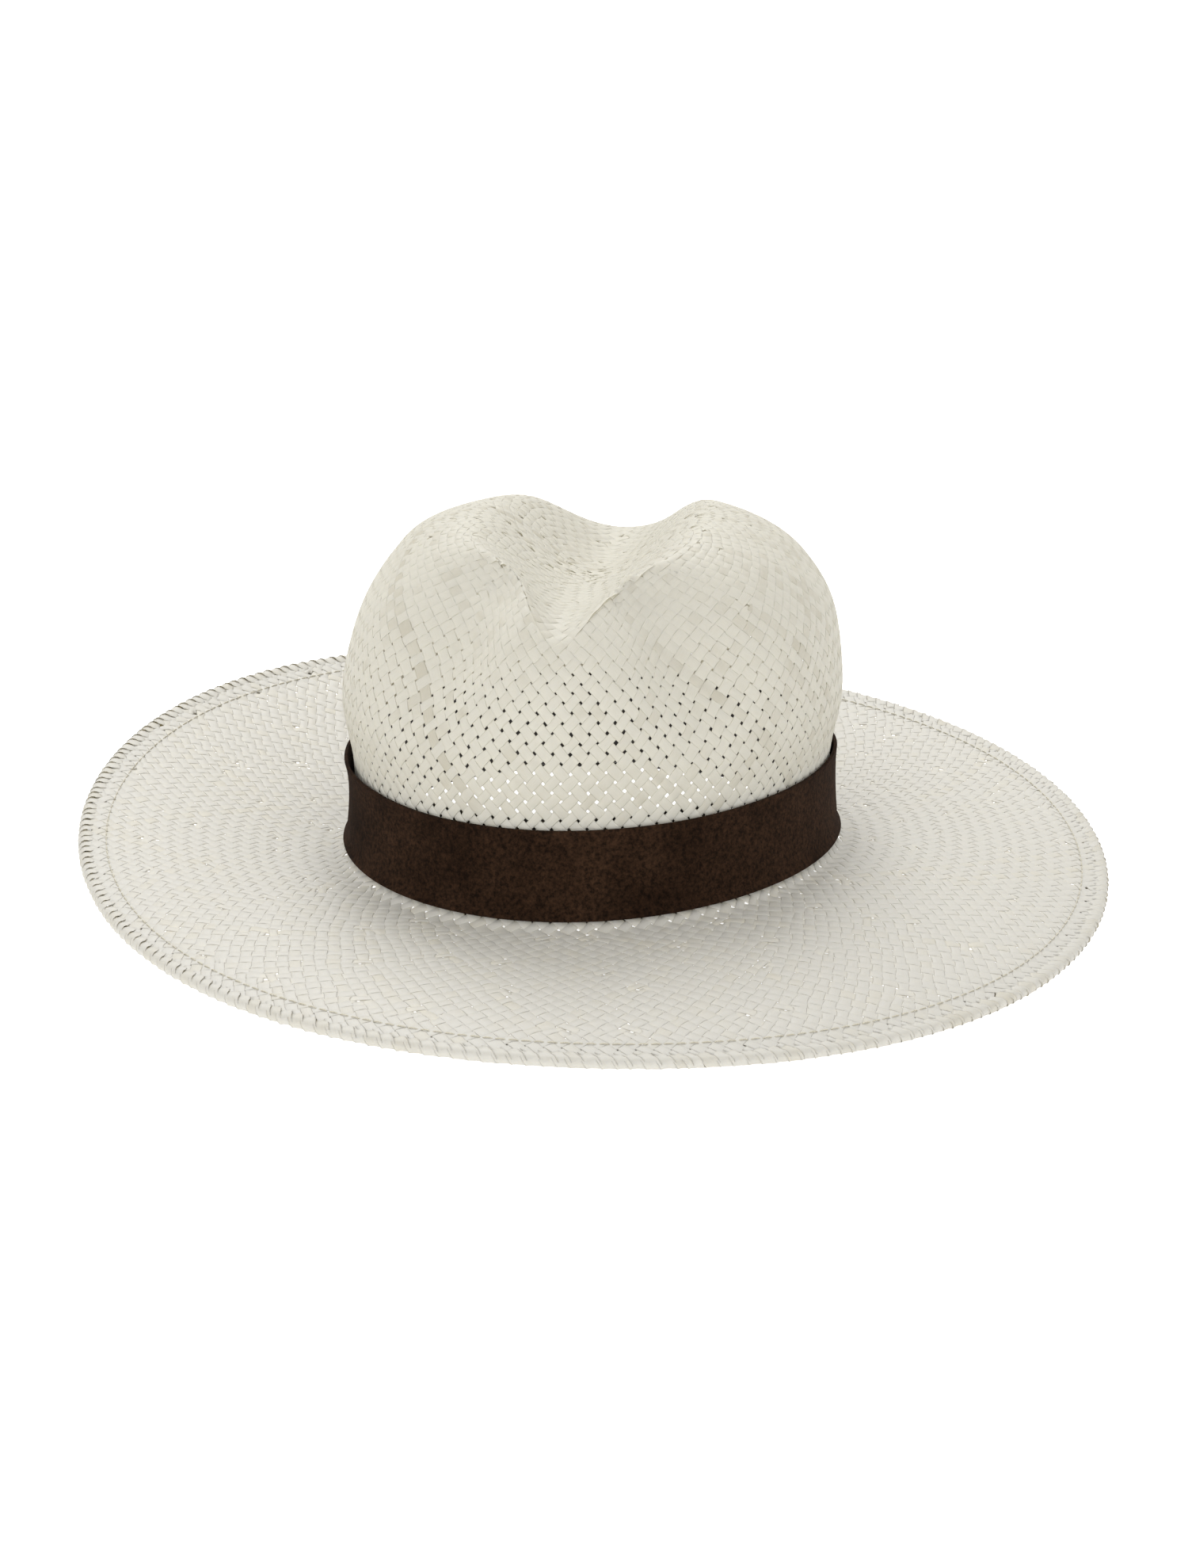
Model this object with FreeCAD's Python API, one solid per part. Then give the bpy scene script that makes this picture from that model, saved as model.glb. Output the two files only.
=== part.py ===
import FreeCAD, Part
import math
import os

# Woven straw hat with a pinched crown, a suede band and a wide snapped brim.
# Millimetres. +Z up, the front of the hat faces -Y, +X is the wearer's left.
# The origin is the centre of the head opening, in the plane where crown and brim meet.

# ---- head oval and crown ----
OVAL_HALF_WIDTH = 85.0        # outer face of the straw at the crown foot, across
OVAL_HALF_LENGTH = 103.0      # the same, front to back
OVAL_EGG = 0.02               # how much wider the back half of the oval is
CROWN_HEIGHT = 116.4          # top of the undented dome above the brim break
STRAW_THICKNESS = 1.2
FLARE_RADIUS = 7.0            # round between crown wall and brim

# Upright profile of the undented crown: height as a share of CROWN_HEIGHT, then the
# shares of the head oval at the side, at the front and at the back.
CROWN_PROFILE = [
    (0.060, 0.995, 0.995, 0.995),
    (0.172, 0.985, 0.985, 0.985),
    (0.292, 0.990, 0.980, 0.985),
    (0.447, 1.030, 0.975, 1.000),
    (0.601, 1.020, 0.940, 0.995),
    (0.722, 0.985, 0.880, 0.955),
    (0.820, 0.910, 0.785, 0.890),
    (0.898, 0.810, 0.650, 0.780),
    (0.954, 0.665, 0.490, 0.630),
    (0.984, 0.470, 0.310, 0.430),
    (0.997, 0.220, 0.150, 0.200),
    (1.000, 0.000, 0.000, 0.000),
]
RIGHT_LEAN = 0.05             # the wearer's right side leans in by this share at the top
# Shares of CROWN_HEIGHT: the lean grows between the first two and ends between the last.
LEAN_HEIGHTS = (0.45, 0.80, 0.86, 0.97)

# Centre crease: place along the oval's half length, half width as a share of the oval's
# half width, depth as a share of CROWN_HEIGHT.
CREASE = [
    (-1.01, 0.060, 0.000),
    (-0.88, 0.060, 0.000),
    (-0.78, 0.130, 0.043),
    (-0.64, 0.285, 0.103),
    (-0.47, 0.415, 0.159),
    (-0.23, 0.525, 0.190),
    (0.05, 0.540, 0.206),
    (0.34, 0.500, 0.215),
    (0.60, 0.430, 0.180),
    (0.84, 0.400, 0.068),
    (1.01, 0.400, 0.000),
]
CREASE_HEIGHTS = (0.60, 0.825)     # shares of CROWN_HEIGHT between which it fades in
CREASE_EDGE_FRONT = 1.5            # small values make a sharp crest, large a round one
CREASE_EDGE_BACK = 2.5
CREASE_EDGE_PLACES = (-0.78, -0.20)

# Front pinches, right and left: a hollow along a line from upper to lower end. The ends
# are shares of half width, half length and crown height; radius and depth are in mm.
PINCHES = [
    {"side": -1, "upper": (0.424, -0.621, 0.799), "lower": (0.553, -0.796, 0.533),
     "radius": 14.0, "depth": 18.0},
    {"side": 1, "upper": (0.435, -0.660, 0.799), "lower": (0.659, -0.796, 0.533),
     "radius": 13.0, "depth": 16.0},
]
PINCH_INWARD = 0.72
PINCH_BACKWARD = 0.68
PINCH_FADE = (0.35, 1.25)          # along the line, 0 at the upper end and 1 at the lower

# ---- brim ----
BRIM_WIDTH = 96.2             # from the crown wall to the edge, seen from above
# Height of the brim edge round the oval: level part, then cosine and sine parts.
EDGE_LEVEL = 1.0
EDGE_WAVES = [(-13.0, 17.4), (0.1, -2.1), (-0.6, 2.0)]
BRIM_SIDE_SHIFT = 1.5         # brim is this much wider on its left, narrower on its right
BRIM_CURL = 0.65              # share of the rise that comes late, as a curl

# ---- dip of the line where crown and brim meet ----
# Its height round the oval, given like that of the edge; the parts near it follow it.
DIP_LEVEL = -2.4
DIP_WAVES = [(0.6, 0.3), (1.05, -0.4)]
DIP_HEIGHTS = (40.0, 95.0)    # it dies away up the crown between these heights
DIP_SIZES = (1.0, 1.9)        # and outwards between these sizes of the oval

# ---- folded hem and the wire inside it ----
HEM_WIDTH = 10.4
HEM_GAP = 0.2                 # between the two layers of straw
WIRE_DIAMETER = 1.0
WIRE_CLEARANCE = 0.1
HEM_CLOSE = 3.3               # run in which the fold closes behind the wire

# ---- stitching thread ----
THREAD_WIDTH = 0.5
THREAD_GAP = 0.05             # thread lies this far off what it is sewn on
HEM_STITCH_MARGIN = 1.1       # stitch line to the hem's inner edge

# ---- suede hat band ----
BAND_WIDTH = 30.5
BAND_FOOT = 2.4               # lower edge above the brim break
BAND_THICKNESS = 1.3
BAND_CLEARANCE = 0.3          # fabric pieces keep this distance
LAP_LENGTH = 26.0
LAP_ANGLE = 62.0              # place of the lap round the hat, from +X towards the back
LAP_GAP = 0.1                 # between the band and the end lapped over it
LAP_INSET = 0.4               # the lapped end is this much narrower at both edges
LAP_STITCH_INSET = 3.0
LAP_STITCH_MARGIN = 3.5

# ---- sweatband ----
SWEAT_HEIGHT = 36.0
SWEAT_FOOT = 1.0
SWEAT_THICKNESS = 0.9
SWEAT_CLEARANCE = 0.6
REED_DIAMETER = 1.6
REED_GAP = 0.1
SWEAT_STITCH_RISE = 2.2       # stitch line above the lower edge of the sweatband
TAPE_WIDTH = 11.0
TAPE_THICKNESS = 0.4
TAPE_MARGIN = 1.5             # tape stops short of the top edge
TAPE_ANGLE = 90.0             # the seam is at the centre back

# ---- how finely the surfaces are drawn ----
RING_POLES = 96
FIT_ROUNDS = 16


# ------------------------------------------------------------------ helpers

def smooth_step(low, high, value):
    """0 below low, 1 above high, with a soft change between them."""
    share = min(1.0, max(0.0, (value - low) / (high - low)))
    return share * share * (3.0 - 2.0 * share)


def between(keys, column, value):
    """Smooth curve through one column of a table whose first column ascends."""
    if value <= keys[0][0]:
        return keys[0][column]
    if value >= keys[-1][0]:
        return keys[-1][column]
    index = max(i for i, key in enumerate(keys) if key[0] <= value)

    def slope(i):
        low = keys[max(0, i - 1)]
        high = keys[min(len(keys) - 1, i + 1)]
        return (high[column] - low[column]) / (high[0] - low[0])

    low, high = keys[index], keys[index + 1]
    run = high[0] - low[0]
    f = (value - low[0]) / run
    return (low[column] * (1 + 2 * f) * (1 - f) ** 2 + high[column] * f * f * (3 - 2 * f)
            + run * slope(index) * f * (1 - f) ** 2 - run * slope(index + 1) * f * f * (1 - f))


def catmull_rom(keys, share):
    """Smooth curve through evenly timed keys; share runs from 0 to 1."""
    spans = len(keys) - 1
    index = min(int(share * spans), spans - 1)
    f = share * spans - index
    rows = (keys[max(0, index - 1)], keys[index], keys[index + 1], keys[min(spans, index + 2)])
    return [
        0.5 * (2 * b + (c - a) * f + (2 * a - 5 * b + 4 * c - d) * f ** 2
               + (3 * b - a - 3 * c + d) * f ** 3)
        for a, b, c, d in zip(*rows)
    ]


# ------------------------------------------------------------------ the form of the hat

def pinch_push(pinch, x, y, z):
    """How far one front pinch pushes this point in."""
    half = (OVAL_HALF_WIDTH * pinch["side"], OVAL_HALF_LENGTH, CROWN_HEIGHT)
    upper = [share * size for share, size in zip(pinch["upper"], half)]
    lower = [share * size for share, size in zip(pinch["lower"], half)]
    line = [b - a for a, b in zip(upper, lower)]
    offset = [p - a for p, a in zip((x, y, z), upper)]
    along = sum(p * q for p, q in zip(line, offset)) / sum(p * p for p in line)
    held = min(1.0, max(0.0, along))
    distance = math.sqrt(sum((p - held * q) ** 2 for p, q in zip(offset, line)))
    fade = 1.0 - smooth_step(PINCH_FADE[0], PINCH_FADE[1], along)
    return pinch["depth"] * fade * math.exp(-0.5 * (distance / pinch["radius"]) ** 2)


def dented(x, y, z):
    """Moves a point of the plain dome to where creasing and pinching put it."""
    place = y / OVAL_HALF_LENGTH
    height = z / CROWN_HEIGHT
    half_width = between(CREASE, 1, place) * OVAL_HALF_WIDTH
    depth = between(CREASE, 2, place) * CROWN_HEIGHT
    roundness = between([(CREASE_EDGE_PLACES[0], CREASE_EDGE_FRONT),
                         (CREASE_EDGE_PLACES[1], CREASE_EDGE_BACK)], 1, place)
    across = min(1.0, abs(x) / half_width)
    drop = depth * (1.0 - across ** 2) ** roundness
    drop *= smooth_step(CREASE_HEIGHTS[0], CREASE_HEIGHTS[1], height)
    push_x = 0.0
    push_y = 0.0
    for pinch in PINCHES:
        push = pinch_push(pinch, x, y, z)
        push_x -= pinch["side"] * PINCH_INWARD * push
        push_y += PINCH_BACKWARD * push
    x += push_x
    if x < 0.0:
        lean = RIGHT_LEAN * smooth_step(LEAN_HEIGHTS[0], LEAN_HEIGHTS[1], height)
        x *= 1.0 - lean * (1.0 - smooth_step(LEAN_HEIGHTS[2], LEAN_HEIGHTS[3], height))
    return FreeCAD.Vector(x, y + push_y, z - drop)


def crown_point(angle, share):
    """Outer face of the crown: share 0 is its top centre, 1 the top of the flare."""
    height, side, front, back = catmull_rom(CROWN_PROFILE, 1.0 - share)
    forward = 0.5 - 0.5 * math.sin(angle)
    length = front * forward + back * (1.0 - forward)
    x = OVAL_HALF_WIDTH * side * math.cos(angle) * (1.0 + OVAL_EGG * math.sin(angle))
    y = OVAL_HALF_LENGTH * length * math.sin(angle)
    foot = CROWN_PROFILE[0][0]
    rise = (height - foot) / (1.0 - foot)
    return dented(x, y, FLARE_RADIUS + (CROWN_HEIGHT - FLARE_RADIUS) * rise)


def wavy(level, waves, angle):
    """Level part plus the cosine and sine parts at an angle."""
    return level + sum(c * math.cos(n * angle) + s * math.sin(n * angle)
                       for n, (c, s) in enumerate(waves, start=1))


def dipped(point):
    """Moves a point of the level hat to where the dip of the brim's inner line puts it."""
    across = point.x / OVAL_HALF_WIDTH
    along = point.y / OVAL_HALF_LENGTH
    dip = wavy(DIP_LEVEL, DIP_WAVES, math.atan2(along, across))
    dip *= 1.0 - smooth_step(DIP_HEIGHTS[0], DIP_HEIGHTS[1], point.z)
    dip *= 1.0 - smooth_step(DIP_SIZES[0], DIP_SIZES[1], math.hypot(across, along))
    return FreeCAD.Vector(point.x, point.y, point.z + dip)


def brim_point(angle, share):
    """Upper face of flare and brim: share 0 is the top of the flare, 1 the edge."""
    quarter = FLARE_RADIUS * math.pi / 2.0
    flat = BRIM_WIDTH - FLARE_RADIUS
    run = share * (quarter + flat)
    if run < quarter:
        turn = run / FLARE_RADIUS
        out = FLARE_RADIUS * (1.0 - math.cos(turn))
        z = FLARE_RADIUS * (1.0 - math.sin(turn))
    else:
        q = (run - quarter) / flat
        out = FLARE_RADIUS + (flat + BRIM_SIDE_SHIFT * math.cos(angle)) * q
        z = wavy(EDGE_LEVEL, EDGE_WAVES, angle) * ((1.0 - BRIM_CURL) * q + BRIM_CURL * q * q)
    foot = CROWN_PROFILE[0]
    egg = 1.0 + OVAL_EGG * math.sin(angle)
    x = (OVAL_HALF_WIDTH * foot[1] * egg + out) * math.cos(angle)
    y = (OVAL_HALF_LENGTH * foot[2] + out) * math.sin(angle)
    return FreeCAD.Vector(x, y, z)


def wall_point(angle, z):
    """Outer face of the straw at a height on the crown wall or the flare."""
    if z < FLARE_RADIUS:
        turn = math.asin((FLARE_RADIUS - z) / FLARE_RADIUS)
        quarter = FLARE_RADIUS * math.pi / 2.0
        return brim_point(angle, turn * FLARE_RADIUS / (quarter + BRIM_WIDTH - FLARE_RADIUS))
    foot = CROWN_PROFILE[0][0]
    wanted = foot + (z - FLARE_RADIUS) / (CROWN_HEIGHT - FLARE_RADIUS) * (1.0 - foot)
    low, high = 0.0, 0.6
    for _ in range(40):
        middle = 0.5 * (low + high)
        if catmull_rom(CROWN_PROFILE, middle)[0] < wanted:
            low = middle
        else:
            high = middle
    return crown_point(angle, 1.0 - 0.5 * (low + high))


def normal(point_at, angle, share):
    """Direction away from the head at a place of a surface given by angle and share."""
    step = 0.001
    around = point_at(angle + step, share) - point_at(angle - step, share)
    low = max(0.0, share - step)
    high = min(1.0, share + step)
    outward = point_at(angle, high) - point_at(angle, low)
    if share < step:
        around = point_at(angle + step, step) - point_at(angle - step, step)
    direction = outward.cross(around)
    direction.normalize()
    return direction


def crown_face(angle, share, depth):
    """A place of the crown, depth below its outer face."""
    if share <= 0.0:
        top = sum((normal(crown_point, a * math.pi / 4.0, 0.004) for a in range(8)),
                  FreeCAD.Vector(0, 0, 0))
        top.normalize()
        return crown_point(0.0, 0.0) - top * depth
    return crown_point(angle, share) - normal(crown_point, angle, share) * depth


def brim_face(angle, share, depth):
    """A place of flare and brim, depth below its upper face."""
    if share <= 0.0:
        return crown_face(angle, 1.0, depth)
    return brim_point(angle, share) - normal(brim_point, angle, share) * depth


def brim_inset(angle, inset, depth):
    """A place of the brim, inset from the fold line of its edge."""
    whole = FLARE_RADIUS * math.pi / 2.0 + BRIM_WIDTH - FLARE_RADIUS
    return brim_face(angle, 1.0 - inset / whole, depth)


def wall_offset(angle, z, out):
    """A place beside the crown wall, out from its outer face, level with height z."""
    ahead = wall_point(angle + 0.01, z)
    behind = wall_point(angle - 0.01, z)
    along = ahead - behind
    away = FreeCAD.Vector(along.y, -along.x, 0.0)
    away.normalize()
    return wall_point(angle, z) + away * out


# ------------------------------------------------------------------ surfaces and solids

def clamped_knots(count, degree):
    """Knots of an open curve with this many poles, one unit apart."""
    return [0] * degree + list(range(count - degree + 1)) + [count - degree] * degree


def basis(knots, degree, index, at):
    """Value of one B-spline basis function."""
    if degree == 0:
        last = knots[index] < knots[index + 1] == knots[-1] == at
        return 1.0 if knots[index] <= at < knots[index + 1] or last else 0.0
    total = 0.0
    if knots[index + degree] > knots[index]:
        share = (at - knots[index]) / (knots[index + degree] - knots[index])
        total += share * basis(knots, degree - 1, index, at)
    if knots[index + degree + 1] > knots[index + 1]:
        share = (knots[index + degree + 1] - at) / (knots[index + degree + 1] - knots[index + 1])
        total += share * basis(knots, degree - 1, index + 1, at)
    return total


def fitted(points, weights):
    """Poles whose weighted sums meet the points, by repeated correction."""
    poles = list(points)
    for _ in range(FIT_ROUNDS):
        sums = [sum((poles[k] * w for k, w in row), FreeCAD.Vector(0, 0, 0)) for row in weights]
        poles = [pole + point - reached for pole, point, reached in zip(poles, points, sums)]
    return poles


def skin(place, rows, closed=True, columns=RING_POLES):
    """Face through place(u, v), u round the hat or across a patch and v along it."""
    degree = min(3, rows - 1)
    knots = clamped_knots(rows, degree)
    greville = [sum(knots[i + 1:i + 1 + degree]) / degree for i in range(rows)]
    along = [[(k, basis(knots, degree, k, at)) for k in range(rows)] for at in greville]
    along = [[(k, w) for k, w in row if w > 1e-12] for row in along]
    stations = [at / knots[-1] for at in greville]
    if closed:
        u_degree = 3
        u_values = [2.0 * math.pi * i / columns for i in range(columns)]
        around = [[((i - 1) % columns, 1 / 6.0), (i, 4 / 6.0), ((i + 1) % columns, 1 / 6.0)]
                  for i in range(columns)]
        u_knots = list(range(columns + 1))
        u_mults = [1] * (columns + 1)
    else:
        u_degree = min(3, columns - 1)
        u_all = clamped_knots(columns, u_degree)
        u_greville = [sum(u_all[i + 1:i + 1 + u_degree]) / u_degree for i in range(columns)]
        u_values = [at / u_all[-1] for at in u_greville]
        around = [[(k, basis(u_all, u_degree, k, at)) for k in range(columns)]
                  for at in u_greville]
        u_knots = list(range(columns - u_degree + 1))
        u_mults = [u_degree + 1] + [1] * (columns - u_degree - 1) + [u_degree + 1]
    grid = [fitted([dipped(place(u, v)) for u in u_values], around) for v in stations]
    lines = [fitted(list(line), along) for line in zip(*grid)]
    v_knots = list(range(rows - degree + 1))
    v_mults = [degree + 1] + [1] * (rows - degree - 1) + [degree + 1]
    surface = Part.BSplineSurface()
    surface.buildFromPolesMultsKnots(lines, u_mults, v_mults, u_knots, v_knots,
                                     closed, False, u_degree, degree)
    return surface.toShape()


def solid_of(faces):
    """One closed solid from faces that share their edges."""
    joined = Part.Compound(faces)
    joined.sewShape(1e-4)
    solid = Part.Solid(joined.Shells[0])
    if solid.Volume < 0.0:
        solid.reverse()
    if not solid.isValid() or len(joined.Shells) != 1:
        raise ValueError("the faces do not close")
    return solid


def run_between(first, second):
    """Straight strip from one ring or edge to another."""
    return lambda u, v: first(u) * (1.0 - v) + second(u) * v


def ring(corners):
    """Closed ring whose section is the polygon of these corner curves."""
    faces = [skin(run_between(a, b), 2) for a, b in zip(corners, corners[1:] + corners[:1])]
    return solid_of(faces)


def slab(inner, outer, columns, rows):
    """Closed patch between two sheets given as place(u, v) with u and v from 0 to 1."""
    def sheet(place):
        return skin(place, rows, closed=False, columns=columns)

    def rim(place_in, place_out, lines):
        return skin(lambda u, v: place_in(u) * (1.0 - v) + place_out(u) * v, 2,
                    closed=False, columns=lines)

    faces = [sheet(inner), sheet(outer)]
    for end in (0.0, 1.0):
        faces.append(rim(lambda u, e=end: inner(u, e), lambda u, e=end: outer(u, e), columns))
        faces.append(rim(lambda v, e=end: inner(e, v), lambda v, e=end: outer(e, v), rows))
    return solid_of(faces)


# ------------------------------------------------------------------ pieces

def fold_place(angle, radius, turn):
    """Round of the hem fold, turn 0 at the top of the brim and 180 at its underside."""
    fold = STRAW_THICKNESS + WIRE_DIAMETER / 2.0 + WIRE_CLEARANCE
    top = brim_inset(angle, fold, 0.0)
    down = brim_inset(angle, fold, 1.0) - top
    out = brim_inset(angle, fold - 0.5, 0.0) - brim_inset(angle, fold + 0.5, 0.0)
    out.normalize()
    centre = top + down * fold
    bend = math.radians(turn)
    return centre - down * (radius * math.cos(bend)) + out * (radius * math.sin(bend))


def make_straw_body():
    """Crown, brim and folded hem: one woven piece."""
    fold = STRAW_THICKNESS + WIRE_DIAMETER / 2.0 + WIRE_CLEARANCE
    inner_fold = fold - STRAW_THICKNESS
    layers = 2.0 * STRAW_THICKNESS + HEM_GAP
    whole = FLARE_RADIUS * math.pi / 2.0 + BRIM_WIDTH - FLARE_RADIUS
    brim_end = 1.0 - fold / whole

    def closing(depth, deep):
        """Lower layer of the hem, which rises to the brim behind the wire."""
        def place(angle, share):
            inset = fold + (HEM_WIDTH - fold) * share
            rise = smooth_step(fold, fold + HEM_CLOSE, inset)
            return brim_inset(angle, inset, deep + (depth - deep) * rise)
        return place

    outer_layer = closing(layers, 2.0 * fold)
    inner_layer = closing(STRAW_THICKNESS + HEM_GAP, 2.0 * fold - STRAW_THICKNESS)
    faces = [
        skin(lambda a, v: crown_face(a, v, 0.0), 44),
        skin(lambda a, v: brim_face(a, v * brim_end, 0.0), 30),
        skin(lambda a, v: fold_place(a, fold, 180.0 * v), 9),
        skin(outer_layer, 10),
        skin(run_between(lambda a: outer_layer(a, 1.0), lambda a: inner_layer(a, 1.0)), 2),
        skin(inner_layer, 10),
        skin(lambda a, v: fold_place(a, inner_fold, 180.0 * v), 9),
        skin(lambda a, v: brim_face(a, v * brim_end, STRAW_THICKNESS), 30),
        skin(lambda a, v: crown_face(a, v, STRAW_THICKNESS), 44),
    ]
    return solid_of(faces)


def make_edge_wire():
    """Wire that stiffens the brim edge, inside the fold."""
    radius = WIRE_DIAMETER / 2.0
    corners = [lambda a, t=turn: fold_place(a, radius, t) for turn in range(0, 360, 45)]
    return ring(corners)


def thread_ring(place):
    """Thread with a flat section along place(angle, out, along)."""
    low = THREAD_GAP
    high = THREAD_GAP + THREAD_WIDTH
    half = THREAD_WIDTH / 2.0
    return ring([
        lambda a: place(a, low, -half),
        lambda a: place(a, high, -half),
        lambda a: place(a, high, half),
        lambda a: place(a, low, half),
    ])


def make_hem_stitching():
    """Stitch line that closes the hem, on top of the brim."""
    stitched = HEM_WIDTH - HEM_STITCH_MARGIN
    return thread_ring(lambda a, out, along: brim_inset(a, stitched + along, -out))


def make_hat_band():
    """Suede strip round the foot of the crown."""
    near = BAND_CLEARANCE
    far = BAND_CLEARANCE + BAND_THICKNESS
    top = BAND_FOOT + BAND_WIDTH
    faces = [
        skin(lambda a, v: wall_offset(a, BAND_FOOT + BAND_WIDTH * v, near), 24),
        skin(run_between(lambda a: wall_offset(a, top, near),
                         lambda a: wall_offset(a, top, far)), 2),
        skin(lambda a, v: wall_offset(a, BAND_FOOT + BAND_WIDTH * v, far), 24),
        skin(run_between(lambda a: wall_offset(a, BAND_FOOT, near),
                         lambda a: wall_offset(a, BAND_FOOT, far)), 2),
    ]
    return solid_of(faces)


def angle_span(middle, length, z):
    """Start and end angle of a patch of this length beside the wall at height z."""
    centre = math.radians(middle)
    speed = (wall_point(centre + 0.01, z) - wall_point(centre - 0.01, z)).Length / 0.02
    return centre - 0.5 * length / speed, centre + 0.5 * length / speed


def wall_patch(middle, length, low, high, near, far, columns=9, rows=16):
    """Curved patch that follows the crown wall between two heights and two offsets."""
    start, end = angle_span(middle, length, 0.5 * (low + high))

    def at(out):
        return lambda u, v: wall_offset(start + (end - start) * u, low + (high - low) * v, out)

    return slab(at(near), at(far), columns, rows)


LAP_NEAR = BAND_CLEARANCE + BAND_THICKNESS + LAP_GAP
LAP_FAR = LAP_NEAR + BAND_THICKNESS


def make_band_lap():
    """The band's outer end, where it laps over the inner end."""
    low = BAND_FOOT + LAP_INSET
    high = BAND_FOOT + BAND_WIDTH - LAP_INSET
    return wall_patch(LAP_ANGLE, LAP_LENGTH, low, high, LAP_NEAR, LAP_FAR)


def make_lap_stitching():
    """Upright stitch line that holds the lapped end."""
    start, end = angle_span(LAP_ANGLE, LAP_LENGTH, BAND_FOOT + BAND_WIDTH / 2.0)
    place = math.degrees(end) - math.degrees(end - start) * LAP_STITCH_INSET / LAP_LENGTH
    low = BAND_FOOT + LAP_STITCH_MARGIN
    high = BAND_FOOT + BAND_WIDTH - LAP_STITCH_MARGIN
    near = LAP_FAR + THREAD_GAP
    return wall_patch(place, THREAD_WIDTH, low, high, near, near + THREAD_WIDTH, columns=2)


def sweat_place(angle, rise, depth):
    """A place of the sweatband: rise above its lower edge, depth from its outer face."""
    inset = STRAW_THICKNESS + SWEAT_CLEARANCE + depth
    z = SWEAT_FOOT + rise
    upright = wall_offset(angle, max(z, FLARE_RADIUS), -inset)
    return FreeCAD.Vector(upright.x, upright.y, z)


def make_sweatband():
    """Strip inside the head opening that rests on the forehead."""
    faces = [
        skin(lambda a, v: sweat_place(a, SWEAT_HEIGHT * v, 0.0), 12),
        skin(run_between(lambda a: sweat_place(a, SWEAT_HEIGHT, 0.0),
                         lambda a: sweat_place(a, SWEAT_HEIGHT, SWEAT_THICKNESS)), 2),
        skin(lambda a, v: sweat_place(a, SWEAT_HEIGHT * v, SWEAT_THICKNESS), 12),
        skin(run_between(lambda a: sweat_place(a, 0.0, 0.0),
                         lambda a: sweat_place(a, 0.0, SWEAT_THICKNESS)), 2),
    ]
    return solid_of(faces)


def make_reed():
    """Cord at the lower edge of the sweatband."""
    radius = REED_DIAMETER / 2.0
    middle = SWEAT_THICKNESS / 2.0
    drop = radius + REED_GAP

    def corner(turn):
        bend = math.radians(turn + 22.5)
        return lambda a: sweat_place(a, radius * math.sin(bend) - drop,
                                     middle + radius * math.cos(bend))

    return ring([corner(turn) for turn in range(0, 360, 45)])


def make_sweat_stitching():
    """Stitch line that sews the sweatband to its cord, on its inner face."""
    return thread_ring(
        lambda a, out, along: sweat_place(a, SWEAT_STITCH_RISE + along, SWEAT_THICKNESS + out))


def make_seam_tape():
    """Tape over the back seam of the sweatband, on its inner face."""
    low = SWEAT_STITCH_RISE + THREAD_WIDTH
    high = SWEAT_HEIGHT - TAPE_MARGIN
    start, end = angle_span(TAPE_ANGLE, TAPE_WIDTH, SWEAT_FOOT + SWEAT_HEIGHT / 2.0)
    near = SWEAT_THICKNESS + THREAD_GAP

    def at(depth):
        return lambda u, v: sweat_place(start + (end - start) * u, low + (high - low) * v, depth)

    return slab(at(near), at(near + TAPE_THICKNESS), 5, 8)


PIECES = {
    "straw_body": make_straw_body,
    "brim_edge_wire": make_edge_wire,
    "brim_hem_stitching": make_hem_stitching,
    "hat_band": make_hat_band,
    "hat_band_lap": make_band_lap,
    "hat_band_lap_stitching": make_lap_stitching,
    "sweatband": make_sweatband,
    "sweatband_reed": make_reed,
    "sweatband_stitching": make_sweat_stitching,
    "sweatband_seam_tape": make_seam_tape,
}


def main():
    """Builds every piece and writes it as its own STEP file."""
    os.makedirs("parts", exist_ok=True)
    for name, make in PIECES.items():
        shape = make()
        shape.exportStep("parts/" + name + ".step")
        box = shape.BoundBox
        print(name, "volume %.0f mm3" % shape.Volume,
              "box %.1f x %.1f x %.1f" % (box.XLength, box.YLength, box.ZLength))


main()
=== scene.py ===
import logging
import math
from dataclasses import dataclass, field
from enum import Enum
from typing import Callable

import bpy
import numpy as np
from mathutils import Matrix, Vector


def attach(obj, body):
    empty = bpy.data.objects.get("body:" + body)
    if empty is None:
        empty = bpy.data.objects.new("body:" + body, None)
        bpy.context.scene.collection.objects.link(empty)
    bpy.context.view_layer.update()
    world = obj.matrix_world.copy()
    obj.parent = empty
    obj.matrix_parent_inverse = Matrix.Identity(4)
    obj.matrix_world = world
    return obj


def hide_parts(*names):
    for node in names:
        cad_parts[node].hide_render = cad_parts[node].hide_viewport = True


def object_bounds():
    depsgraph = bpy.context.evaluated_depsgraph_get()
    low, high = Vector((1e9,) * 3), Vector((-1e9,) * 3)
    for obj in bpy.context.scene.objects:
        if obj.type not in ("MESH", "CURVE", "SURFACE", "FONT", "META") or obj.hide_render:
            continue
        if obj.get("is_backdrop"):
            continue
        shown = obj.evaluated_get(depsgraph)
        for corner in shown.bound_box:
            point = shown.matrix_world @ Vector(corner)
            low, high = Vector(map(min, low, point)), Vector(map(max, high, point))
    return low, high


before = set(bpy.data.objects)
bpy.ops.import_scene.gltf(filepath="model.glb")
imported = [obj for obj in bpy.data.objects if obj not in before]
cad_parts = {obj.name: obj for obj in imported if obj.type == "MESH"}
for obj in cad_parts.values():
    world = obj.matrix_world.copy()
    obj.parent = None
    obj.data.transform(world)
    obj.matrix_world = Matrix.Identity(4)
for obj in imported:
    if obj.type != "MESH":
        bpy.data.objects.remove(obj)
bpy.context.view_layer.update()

LOG = logging.getLogger("panama_hat")
MM = 0.001
Place = Callable[[np.ndarray, np.ndarray], np.ndarray]


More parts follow.
